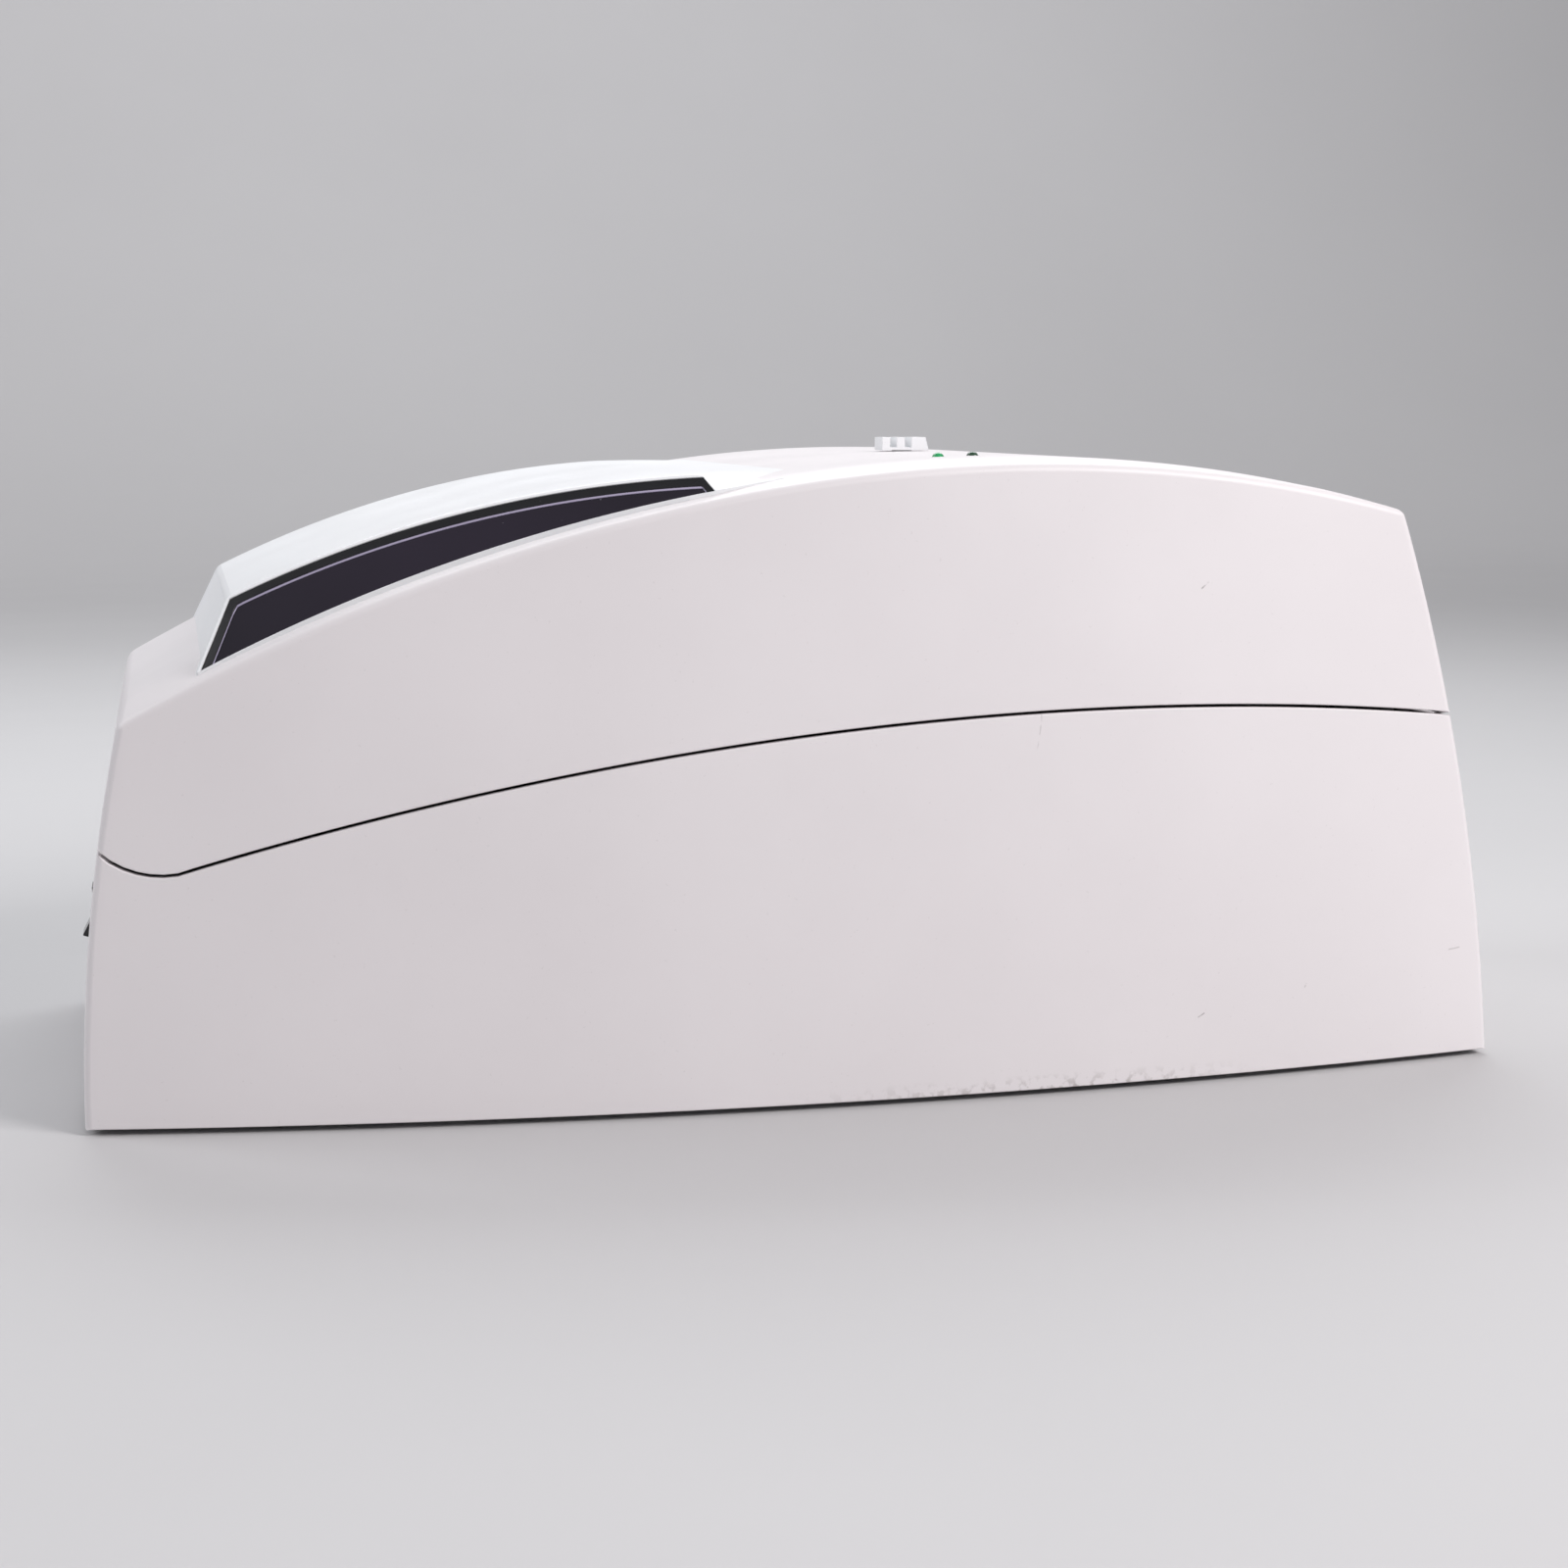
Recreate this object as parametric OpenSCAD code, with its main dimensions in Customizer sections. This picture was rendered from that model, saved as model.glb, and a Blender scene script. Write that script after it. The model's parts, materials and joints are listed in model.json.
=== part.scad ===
// Countertop flatbed barcode scanner: a flat glass scan bed in a deep lower housing, under a tall
// arched cover that hinges at the rear (-X) end.
// +X runs along the length to the opening end, +Z is up, the origin is under the middle of the feet.

/* [Housing] */
// Length of the housing at its bottom edge
body_l = 450; // [446:1:454]
// Width of the housing at mid length
body_w = 230; // [226:1:236]
// How far each long side bulges out at mid length
side_bulge = 19.6; // [16:0.1:22]
// Height of the rubber feet below the shell
foot_h = 2; // [1.5:0.1:3]
// Wall thickness of both shells
wall = 3; // [2.5:0.1:3.2]
// Radius of the curved rear end, which is upright at the bottom
rear_r = 550; // [530:5:580]
// Radius of the curved front end
front_r = 680; // [670:5:700]
// How far below the shell the centre of the front end's curve lies
front_drop = 53.4; // [50:0.1:56]

/* [Top] */
// X of the place where the rear and front curves of the top meet
meet_x = -40; // [-44:1:-36]
// X of the highest place on the long top edges
edge_peak_x = 57; // [54:1:60]
// Height of that place above the shell's bottom edge
edge_peak_h = 193; // [191:0.5:194]
// Radius of the long top edges in front of the meeting place
edge_front_r = 472; // [465:1:480]
// Radius of the long top edges behind it
edge_rear_r = 540; // [530:1:550]
// X of the highest place on the crown
crown_peak_x = 54.6; // [52:0.2:57]
// Height of the crown above the shell's bottom edge
crown_peak_h = 195.8; // [195:0.2:197]
// Radius of the crown in front of the meeting place
crown_front_r = 498; // [490:1:505]
// Radius of the crown behind it
crown_rear_r = 575; // [565:1:585]
// Slope of the shoulders between the long edges and the crown
shoulder_a = 13; // [11:0.5:15]

/* [Seam and hinge] */
// Gap between the two shells
seam_gap = 1; // [0.8:0.1:1.2]
// X of the seam's highest place
seam_peak_x = 95; // [90:1:100]
// Height of that place above the shell's bottom edge
seam_peak_h = 118.7; // [117:0.1:120]
// Radius of the long rise of the seam
seam_r = 1010; // [990:5:1030]
// X of the hinge axis, which is the centre of the seam's dip
hinge_x = -200.5; // [-202:0.5:-199]
// Radius of the seam's dip round the hinge
dip_r = 27; // [26:0.5:28]
// Radius of the hinge pins
hinge_pin_r = 2.5; // [2:0.1:3]
// Distance of each hinge bracket from the middle plane
hinge_y = 70; // [60:1:75]

/* [Hood and window] */
// Thickness of the hood's walls
hood_t = 2.5; // [2:0.1:3]
// Lean of the hood's rear face from upright
hood_lean = 21.5; // [20:0.5:23]
// Slope of the window panes
pane_a = 45; // [43:1:47]
// X of the front end of the window panes
pane_end_x = -38; // [-40:1:-36]
// Width of the black border above each pane
bezel_top = 3.2; // [2.5:0.1:4]
// Width of the black border at a pane's ends
bezel_end = 3.6; // [3:0.1:4.5]

/* [Bed] */
// Height of the scan bed above the ground
bed_z = 76; // [74:0.5:76]
// Length of the platen glass
platen_l = 310; // [290:1:320]
// Width of the platen glass
platen_w = 166; // [150:1:168]
// X of the platen's middle
platen_x = 22; // [18:1:24]

/* [Lock and switch] */
// X of the lock's thumb grip when unlocked
grip_x = 49; // [46:1:52]
// Length of the thumb grip along X
grip_l = 16.4; // [15:0.1:18]
// Depth of the thumb grip along Y
grip_w = 10; // [8:0.5:14]
// Height of the thumb grip over the crown
grip_h = 4.4; // [4:0.1:5]
// Travel of the lock
lock_travel = 6; // [5:0.5:6.5]
// Y of the power rocker
rocker_y = -74; // [-78:1:-66]
// Height of the rocker's pivot above the ground
rocker_z = 63.2; // [60:0.2:66]
// Tilt of the rocker either way from level
rocker_tilt = 12; // [10:1:13]

/* [Hidden] */

shell_white = "#e6e1e2";
steel = "#9aa0a6";
board_green = "#2c6b45";
near_black = "#1b1b1e";

eps = 0.01;
meet_kink = -0.2;                // faint corner between the top's rear and front arcs, in degrees
meet_lap = 5;                    // the two arcs' areas overlap this far past the corner
big = 900;                       // longer than any cut has to be
big_fn = 720;                    // segments on the housing's long arcs
fn = 64;                         // segments on small round parts
z0 = foot_h;                     // level of the shell's bottom edge
half_l = body_l / 2;
half_w = body_w / 2;
side_r = (half_l * half_l + side_bulge * side_bulge) / (2 * side_bulge);
front_cx = half_l - sqrt(front_r * front_r - front_drop * front_drop);

// Centre of the front one of two top arcs, and of the rear one, which meets it smoothly at meet_x
function front_centre(x, h, r) = [x, z0 + h - r];
function meet_point(c, r) = [meet_x, c[1] + sqrt(r * r - pow(meet_x - c[0], 2))];
function turned(v, a) = [v[0] * cos(a) - v[1] * sin(a), v[0] * sin(a) + v[1] * cos(a)];
function rear_centre(c, r, rr) = meet_point(c, r) + turned(c - meet_point(c, r), meet_kink) * rr / r;

// Circle through three points, as [centre x, centre y, radius]
function circle3(a, b, c) =
    let (d = 2 * (a[0] * (b[1] - c[1]) + b[0] * (c[1] - a[1]) + c[0] * (a[1] - b[1])),
         x = ((a * a) * (b[1] - c[1]) + (b * b) * (c[1] - a[1]) + (c * c) * (a[1] - b[1])) / d,
         y = ((a * a) * (c[0] - b[0]) + (b * b) * (a[0] - c[0]) + (c * c) * (b[0] - a[0])) / d)
    [x, y, norm([a[0] - x, a[1] - y])];

// Height of the crown's outer face at x, in front of the meeting place
crown_c = front_centre(crown_peak_x, crown_peak_h, crown_front_r);
function crown_z(x) = crown_c[1] + sqrt(pow(crown_front_r, 2) - pow(x - crown_c[0], 2));
// Outer face of the rear and of the front end at height z
function rear_x(z) = rear_r - half_l - sqrt(rear_r * rear_r - pow(z - z0, 2));
function front_x(z) = front_cx + sqrt(front_r * front_r - pow(z - z0 + front_drop, 2));
// Outer face of a long side at x
function side_y(x) = half_w - side_r + sqrt(side_r * side_r - x * x);

// Seam: the rise's centre, and the hinge axis at the centre of the dip that runs smoothly into it
seam_c = [seam_peak_x, z0 + seam_peak_h - seam_r];
dip_overlap = 0.3;                   // the dip bites this far into the rise, for a clean corner
hinge_z = seam_c[1] + sqrt(pow(seam_r + dip_r, 2) - pow(hinge_x - seam_c[0], 2)) - dip_overlap;
hinge_c = [hinge_x, hinge_z];

// Hood arch, and the window's lower edge, each as an arc through three points above z0
hood_arc = circle3([-181.6, z0 + 155], [-102.6, z0 + 182.6], [-40.2, z0 + 191]);
sill_arc = circle3([-189.6, z0 + 134.1], [-110, z0 + 167.6], [-37, z0 + 186.2]);
hood_end_x = -22;                    // the hood runs out on the crown here
hood_foot = [-189.6, z0 + 134.1];    // where the hood's rear face meets the sill
// Underside of the hood, below the cover's skin, so that the hood plugs the opening in the cover
seat_arc = circle3([-190, z0 + 128], [-110, z0 + 162], [-22, z0 + 184]);
// The panes are tilted about a line at pivot_z, and follow the sill's arc there
pivot_z = z0 + 168;
pane_yaw = 5;                        // turn of the panes in plan, to follow the bulging sides
pane_inset = 6;                      // distance of the sill from the long side
pane_t = 3;                          // depth of the bezel
function tilted(z) = pivot_z + (z - pivot_z) * cos(pane_a);
pane_arc = circle3([-190, tilted(z0 + 133.8)], [-110, tilted(z0 + 167.6)], [-37, tilted(z0 + 186.2)]);
pane_front = [-37, -side_y(-37) + pane_inset];

deck_t = 6;                          // deck thickness
ledge_t = 2;                         // ledge left under the platen glass
glass_t = 3.5;
gasket_t = deck_t - ledge_t - glass_t;
deck_gap = 0.3;
plate_z = z0 + 1;                    // underside of the bottom plate
plate_t = 1.5;
plate_top = plate_z + plate_t;
deck_z = bed_z - deck_t;             // underside of the deck
post_x = 190;
post_ys = [for (s = [-1, 1]) s * (side_y(post_x) - wall - 8)];
mid_post_y = half_w - wall - 8;
posts = [for (x = [-post_x, post_x], y = post_ys) [x, y], [0, mid_post_y], [0, -mid_post_y]];
post_r = 5;
pilot_r = 1.5;

tray_z = 20;                         // underside of the optics tray
tray_t = 3;
tray_top = tray_z + tray_t;
motor_x = 70;
motor_y = 20;
motor_h = 12;
motor_shaft_r = 1.5;
board_z = 14;                        // underside of the circuit boards
board_t = 1.6;

bar_z = 172;                         // underside of the lock bar
bar_t = 3;
bar_w = 12;
leg_x = 174;
hook_z = 104;                        // underside of the hook
hook_t = 4;
hook_tip_x = 196;
keeper_x = hook_tip_x + 1.5;
rib_n = 3;
rib_pitch = 5.15;
rib_t = 2.8;
rib_d = 3.4;                         // depth of the grooves between the ribs
stem_l = 6;
stem_w = 4;
grip_gap = 0.3;

led_r = 2;
led_xs = [35.6, 46.6];
led_y = -90;
led_board_z = 183;
led_board_c = [40, -84];

// ---------- shared shapes ----------

// A profile in the X-Z plane, drawn out along Y
module along_y(w, y = 0) translate([0, y, 0]) rotate([90, 0, 0])
    linear_extrude(height = w, center = true) children();

// Area under a top curve, lowered by t: a front arc, and a rear arc that meets it at meet_x with
// a faint corner. Radii are stretched for an outline that lies in a tilted plane.
module under_arcs(x, h, rf, rr, t, stretch = 1) {
    cf = front_centre(x, h, rf * stretch);
    cr = rear_centre(cf, rf * stretch, rr * stretch);
    intersection() {
        translate([cf[0], cf[1] - t]) circle(r = rf * stretch, $fn = big_fn);
        translate([meet_x - meet_lap, -150]) square([half_l + 50 - meet_x + meet_lap, 400]);
    }
    intersection() {
        translate([cr[0], cr[1] - t]) circle(r = rr * stretch, $fn = big_fn);
        translate([-half_l - 50, -150]) square([half_l + 50 + meet_x + meet_lap, 400]);
    }
}

// Everything below one sloping shoulder, lowered by t; s is -1 on the near side and 1 on the far
module below_shoulder(s, t)
    translate([0, s * half_w, z0 + edge_peak_h]) rotate([-s * shoulder_a, 0, 0])
        translate([0, 0, -z0 - edge_peak_h]) along_y(2 * body_w)
            under_arcs(edge_peak_x, edge_peak_h, edge_front_r, edge_rear_r, t, 1 / cos(shoulder_a));

// Side view of the housing, moved in by t
module side_profile(t) intersection() {
    translate([rear_r - half_l, z0]) circle(r = rear_r - t, $fn = big_fn);
    translate([front_cx, z0 - front_drop]) circle(r = front_r - t, $fn = big_fn);
    under_arcs(crown_peak_x, crown_peak_h, crown_front_r, crown_rear_r, t);
    translate([-half_l - 1, 0]) square([body_l + 2, 250]);
}

// Plan view of the housing, moved in by t
module plan(t) intersection() {
    translate([0, half_w - side_r]) circle(r = side_r - t, $fn = 2 * big_fn);
    translate([0, side_r - half_w]) circle(r = side_r - t, $fn = 2 * big_fn);
    square([body_l + 4, body_w + 4], center = true);
}

// The whole housing as one solid, with every outer face moved in by t
module envelope(t) intersection() {
    along_y(body_w + 4) side_profile(t);
    translate([0, 0, -1]) linear_extrude(height = 252) plan(t);
    below_shoulder(-1, t);
    below_shoulder(1, t);
}

// Everything under the seam, in side view; e moves the line up
module below_seam(e) {
    lean = atan2(hinge_x - seam_c[0], hinge_z - seam_c[1]);
    difference() {
        union() {
            intersection() {
                translate(seam_c) circle(r = seam_r + e, $fn = 2 * big_fn);
                translate(hinge_c) rotate(-lean) translate([0, -big]) square([big, 2 * big]);
                translate([-half_l - 5, -5]) square([body_l + 10, 250]);
            }
            intersection() {
                translate(hinge_c) rotate(-lean) translate([-big, -big]) square([big, 2 * big]);
                translate([-half_l - 5, -5]) square([90, hinge_z + 5]);
            }
        }
        translate(hinge_c) circle(r = dip_r - e, $fn = 2 * fn);
    }
}

// One copy on each side of the middle plane
module both_sides() {
    children();
    mirror([0, 1, 0]) children();
}

// ---------- base ----------

module lower_housing() color(shell_white) difference() {
    union() {
        difference() {
            intersection() {
                envelope(0);
                along_y(body_w + 4) below_seam(-seam_gap / 2);
                translate([-half_l - 1, -half_w - 1, z0]) cube([body_l + 2, body_w + 2, 250]);
            }
            envelope(wall);
        }
        intersection() {
            envelope(wall / 2);
            for (p = posts) translate([p[0], p[1], plate_top]) {
                cylinder(r = post_r, h = deck_z - plate_top, $fn = fn);
                translate([-2, p[1] > 0 ? 0 : -15, 0]) cube([4, 15, deck_z - plate_top]);
            }
        }
    }
    for (p = posts) translate([p[0], p[1], plate_top - eps]) {
        cylinder(r = pilot_r, h = 14, $fn = fn);
        translate([0, 0, deck_z - plate_top - 14]) cylinder(r = pilot_r, h = 15, $fn = fn);
    }
    translate([-half_l - 5, rocker_y - 7, rocker_z - 11]) cube([20, 14, 22]);
    translate([-half_l - 5, inlet_y - inlet_w / 2, inlet_z - inlet_h / 2]) cube([20, inlet_w, inlet_h]);
    translate([-half_l - 5, socket_y - socket_w / 2, socket_z - socket_h / 2])
        cube([20, socket_w, socket_h]);
}

module bottom_plate() color(steel) difference() {
    intersection() {
        envelope(wall + deck_gap);
        translate([-half_l, -half_w, plate_z]) cube([body_l, body_w, plate_t]);
    }
    for (p = posts) translate([p[0], p[1], 0]) cylinder(r = 2, h = 10, $fn = fn);
    for (i = [0 : 5]) translate([-165 + 9 * i, -20, 0]) cube([4, 40, 10]);
    for (i = [-2 : 2], j = [-2 : 2]) translate([speaker_c[0] + 7 * i, speaker_c[1] + 7 * j, 0])
        cylinder(r = 1.5, h = 10, $fn = 24);
}

feet = [for (x = [-165, 165], y = [-72, 72]) [x, y]];
module rubber_feet() color(near_black)
    for (p = feet) translate([p[0], p[1], 0]) {
        cylinder(r = 9, h = plate_z, $fn = fn);
    }

module plate_screws() color(steel)
    for (p = posts) translate([p[0], p[1], plate_z - eps]) {
        translate([0, 0, eps - 0.9]) cylinder(r = 3, h = 0.9, $fn = fn);
        translate([0, 0, 0]) cylinder(r = pilot_r, h = 10, $fn = fn);
    }

module bed_deck() color("#c9c5c8") difference() {
    intersection() {
        envelope(wall + deck_gap);
        translate([-half_l, -half_w, deck_z]) cube([body_l, body_w, deck_t]);
    }
    translate([platen_x, 0, deck_z + ledge_t + 10]) cube([platen_l, platen_w, 20], center = true);
    translate([platen_x, 0, deck_z]) cube([platen_l - 12, platen_w - 12, 30], center = true);
    for (p = posts) translate([p[0], p[1], deck_z - 1]) {
        cylinder(r = 1.7, h = 20, $fn = fn);
        translate([0, 0, 1 + deck_t - 2]) cylinder(r = 3.4, h = 5, $fn = fn);
    }
    for (s = [-1, 1], x = bracket_xs) translate([x, s * bracket_hole_y, deck_z - 1])
        cylinder(r = 1.25, h = 20, $fn = fn);
    translate([-half_l, rocker_y - 8, deck_z - 1]) cube([27, 16, deck_t + 2]);
}

module deck_screws() color(steel)
    for (p = posts) translate([p[0], p[1], bed_z - 2]) {
        cylinder(r = 3, h = 1.6, $fn = fn);
        translate([0, 0, -12]) cylinder(r = pilot_r, h = 12 + eps, $fn = fn);
    }

module platen_gasket() color(near_black) translate([platen_x, 0, deck_z + ledge_t]) difference() {
    translate([-platen_l / 2, -platen_w / 2, 0]) cube([platen_l, platen_w, gasket_t]);
    translate([-platen_l / 2 + 6, -platen_w / 2 + 6, -1]) cube([platen_l - 12, platen_w - 12, 5]);
}

module platen_glass() color("#bcd8d4")
    translate([platen_x - platen_l / 2, -platen_w / 2, bed_z - glass_t])
        cube([platen_l, platen_w, glass_t]);

tray_x = [-50, 190];
tray_w = 130;
tray_posts_at = [for (x = [tray_x[0] + 10, tray_x[1] - 10], y = [-1, 1]) [x, y * (tray_w / 2 - 10)]];
module optics_tray() color("#6f7377") difference() {
    union() {
        translate([tray_x[0], -tray_w / 2, tray_z]) cube([tray_x[1] - tray_x[0], tray_w, tray_t]);
        for (s = [-1, 1]) translate([tray_x[0], s * (tray_w / 2 - 1.5) - 1.5, tray_z])
            cube([tray_x[1] - tray_x[0], 3, 12]);
    }
    for (p = tray_posts_at) translate([p[0], p[1], tray_z - 1]) cylinder(r = 1.7, h = 10, $fn = fn);
    translate([motor_x, motor_y, tray_z - 1]) cylinder(r = 5, h = 10, $fn = fn);
}

module tray_posts() color(steel)
    for (p = tray_posts_at) translate([p[0], p[1], plate_top]) {
        cylinder(r = 4, h = tray_z - plate_top, $fn = fn);
        translate([0, 0, tray_z - plate_top - eps]) cylinder(r = 1.6, h = tray_t + 0.5, $fn = fn);
        translate([0, 0, tray_top - plate_top]) cylinder(r = 3.2, h = 1.8, $fn = fn);
    }

laser_at = [0, -30];
module laser_module() color("#b08d3c") translate([laser_at[0], laser_at[1], tray_top]) {
    translate([-9, -8, 0]) cube([18, 16, 5]);
    translate([-12, 0, 10]) rotate([0, 90, 0]) difference() {
        cylinder(r = 6, h = 24, $fn = fn);
        translate([0, 0, 18]) cylinder(r = 2, h = 10, $fn = fn);
    }
}

// Four tilted mirrors round the polygon, which throw the beam up through the platen
mirror_r = 46;
module fold_mirrors() color("#cfd6da")
    for (a = [45, 135, 225, 315]) translate([motor_x, motor_y - 20, tray_top + 1])
        rotate([0, 0, a]) translate([mirror_r, 0, 0]) {
            translate([0, -14, 0.5]) rotate([0, 40, 0]) cube([2, 28, 30]);
            translate([1, -10, -1]) cube([6, 20, 4]);
        }

module collecting_mirror() color("#d9dde0") translate([150, -5, tray_top]) {
    translate([-10, -22, 0]) cube([20, 44, 5]);
    translate([0, 0, 22]) rotate([0, 70, 180]) difference() {
        cylinder(r = 22, h = 4, $fn = 96);
        translate([0, 0, 62]) sphere(r = 60, $fn = 180);
    }
}

module sensor_board() color(board_green) translate([170, -25, tray_top]) {
    cube([2, 50, 28]);
    color(near_black) translate([-4, 19, 12]) cube([4.01, 12, 12]);
}

module scan_motor() color("#3b3f45") translate([motor_x, motor_y, tray_top]) {
    cylinder(r = 15, h = motor_h, $fn = fn);
    translate([0, 0, motor_h - eps]) cylinder(r = motor_shaft_r, h = 12, $fn = fn);
    translate([-20, -12, 0]) cube([40, 24, 2]);
}

module polygon_mirror() color("#dfe5e8") translate([motor_x, motor_y, tray_top + motor_h + 0.5])
    difference() {
        union() {
            cylinder(r = 14, h = 7, $fn = 8);
            cylinder(r = 6, h = 9, $fn = fn);
        }
        translate([0, 0, -1]) cylinder(r = motor_shaft_r + 0.05, h = 20, $fn = fn);
    }

main_at = [-140, -70];
main_size = [80, 60];
main_posts = [for (x = [5, main_size[0] - 5], y = [5, main_size[1] - 5]) main_at + [x, y]];
module main_board() color(board_green) difference() {
    union() {
        translate([main_at[0], main_at[1], board_z]) cube([main_size[0], main_size[1], board_t]);
        translate([main_at[0], main_at[1], board_z + board_t - eps]) {
            translate([20, 18, 0]) cube([18, 18, 2]);
            translate([48, 20, 0]) cube([12, 22, 1.6]);
            translate([14, 42, 0]) cube([24, 8, 5]);
            for (i = [0 : 2]) translate([48 + 9 * i, 52, 0]) cylinder(r = 3, h = 8, $fn = 32);
        }
    }
    for (p = main_posts) translate([p[0], p[1], 0]) cylinder(r = 1.6, h = 30, $fn = 32);
}

supply_at = [-195, 1];
supply_size = [70, 80];
supply_posts = [for (x = [5, supply_size[0] - 5], y = [5, supply_size[1] - 5]) supply_at + [x, y]];
module power_supply() color("#8a6a3a") difference() {
    union() {
        translate([supply_at[0], supply_at[1], board_z]) cube([supply_size[0], supply_size[1], board_t]);
        translate([supply_at[0], supply_at[1], board_z + board_t - eps]) {
            translate([18, 14, 0]) cube([26, 30, 22]);
            translate([50, 28, 0]) cylinder(r = 8, h = 26, $fn = 48);
            translate([18, 56, 0]) cube([40, 3, 20]);
        }
    }
    for (p = supply_posts) translate([p[0], p[1], 0]) cylinder(r = 1.6, h = 30, $fn = 32);
}

all_board_posts = concat(main_posts, supply_posts);
module board_posts() color("#b08d3c")
    for (p = all_board_posts) translate([p[0], p[1], plate_top]) difference() {
        cylinder(r = 3, h = board_z - plate_top, $fn = 32);
        translate([0, 0, 2]) cylinder(r = 1.25, h = 20, $fn = 32);
    }

module board_screws() color(steel)
    for (p = all_board_posts) translate([p[0], p[1], board_z + board_t]) {
        cylinder(r = 2.8, h = 1.8, $fn = 32);
        translate([0, 0, -6]) cylinder(r = 1.25, h = 6 + eps, $fn = 32);
    }

inlet_y = 52;
inlet_z = 34;
inlet_w = 28;
inlet_h = 20;
inlet_depth = 24;
// Mains inlet with three blades in a socket, flush with the rear end
module power_inlet() color(near_black) {
    face = rear_x(inlet_z);
    difference() {
        intersection() {
            envelope(0);
            translate([face - 3, inlet_y - inlet_w / 2, inlet_z - inlet_h / 2])
                cube([inlet_depth + 3, inlet_w, inlet_h]);
        }
        translate([face - 5, inlet_y - 12, inlet_z - 8]) cube([5 + 17, 24, 16]);
    }
    for (i = [-1 : 1]) translate([face + 5, inlet_y + 7 * i - 1, inlet_z - (i == 0 ? -1 : 3)])
        cube([12 + eps, 2, 4]);
}

socket_y = 0;
socket_z = 28;
socket_w = 16;
socket_h = 14;
module data_socket() color("#34363a") {
    face = rear_x(socket_z);
    difference() {
        intersection() {
            envelope(0);
            translate([face - 3, socket_y - socket_w / 2, socket_z - socket_h / 2])
                cube([18 + 3, socket_w, socket_h]);
        }
        translate([face - 5, socket_y - 6, socket_z - 4.5]) cube([5 + 13, 12, 8]);
        translate([face - 5, socket_y - 2, socket_z - 6]) cube([5 + 13, 4, 3]);
    }
}

speaker_c = [-90, 40];
module speaker() color("#2b2b2f") translate([speaker_c[0], speaker_c[1], plate_top]) {
    cylinder(r = 20, h = 3, $fn = fn);
    translate([0, 0, 3 - eps]) cylinder(r1 = 18, r2 = 11, h = 6, $fn = fn);
    translate([0, 0, 9 - 2 * eps]) cylinder(r = 11, h = 5, $fn = fn);
}

// Switch body in the rear end, with an open pocket for the rocker
pivot_x = rear_x(rocker_z) + 4.4;
rocker_w = 10;
module rocker_bezel() color(near_black) difference() {
    intersection() {
        envelope(0);
        translate([rear_x(rocker_z) - 5, rocker_y - 7, rocker_z - 11]) cube([23, 14, 22]);
    }
    translate([rear_x(rocker_z) - 6, rocker_y - rocker_w / 2 - 0.4, rocker_z - 9.2])
        cube([6 + 11, rocker_w + 0.8, 18.4]);
    translate([pivot_x, rocker_y, rocker_z]) rotate([90, 0, 0])
        cylinder(r = 1, h = 30, center = true, $fn = fn);
}

module rocker_pin() color(steel) translate([pivot_x, rocker_y, rocker_z]) rotate([90, 0, 0])
    cylinder(r = 1, h = 14, center = true, $fn = fn);

// Paddle with a shallow valley across its face, tilted so that its lower half stands proud
module power_rocker() color(near_black) translate([pivot_x, rocker_y, rocker_z])
    rotate([0, rocker_tilt, 0]) difference() {
        rotate([90, 0, 0]) linear_extrude(height = rocker_w, center = true)
            polygon([[-5.6, 7.5], [-3.6, 0], [-5.6, -7.5], [-3.2, -7.7], [3, -4.5], [3, 4.5], [-3.2, 7.7]]);
        rotate([90, 0, 0]) cylinder(r = 1.05, h = 30, center = true, $fn = fn);
    }

// Brackets on the deck reach to the hinge axis from the front, clear of the cover's rear wall
bracket_t = 5;
bracket_xs = [-165, -153];
bracket_hole_y = hinge_y - 12;
arm_a = -28;
module hinge_bracket() difference() {
    union() {
        along_y(bracket_t, hinge_y) {
            translate(hinge_c) circle(r = 6, $fn = fn);
            translate(hinge_c) rotate(arm_a) translate([0, -4]) square([38, 8]);
            translate([-172, bed_z]) square([12, 16]);
        }
        translate([-172, hinge_y - 18, bed_z]) cube([26, 18, 3]);
    }
    translate([hinge_x, hinge_y, hinge_z]) rotate([90, 0, 0])
        cylinder(r = hinge_pin_r, h = 30, center = true, $fn = fn);
    for (x = bracket_xs) translate([x, bracket_hole_y, 0]) cylinder(r = 1.7, h = 120, $fn = fn);
}
module hinge_brackets() color(steel) both_sides() hinge_bracket();

module bracket_screws() color("#777b80") both_sides()
    for (x = bracket_xs) translate([x, bracket_hole_y, bed_z + 3]) {
        cylinder(r = 2.8, h = 1.8, $fn = fn);
        translate([0, 0, -8]) cylinder(r = 1.25, h = 8 + eps, $fn = fn);
    }

pin_l = 2 * bracket_t + 3;
module hinge_pins() color("#c5c9cc") both_sides()
    translate([hinge_x, hinge_y - bracket_t / 2 - 1, hinge_z]) rotate([-90, 0, 0])
        cylinder(r = hinge_pin_r, h = pin_l, $fn = fn);

keeper_w = 24;
keeper_z = hook_z + hook_t + 1;      // underside of the lip that the hook goes under
keeper_holes = [-8, 8];
module lock_keeper() color(steel) difference() {
    intersection() {
        envelope(wall);
        union() {
            translate([keeper_x, -keeper_w / 2, keeper_z]) cube([20, keeper_w, 3]);
            difference() {
                translate([keeper_x, -keeper_w / 2, 84]) cube([20, keeper_w, keeper_z + 2 - 84]);
                envelope(wall + 2);
            }
        }
    }
    for (y = keeper_holes) translate([keeper_x - 5, y, 90]) rotate([0, 90, 0])
        cylinder(r = 1.6, h = 40, $fn = fn);
}

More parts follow.
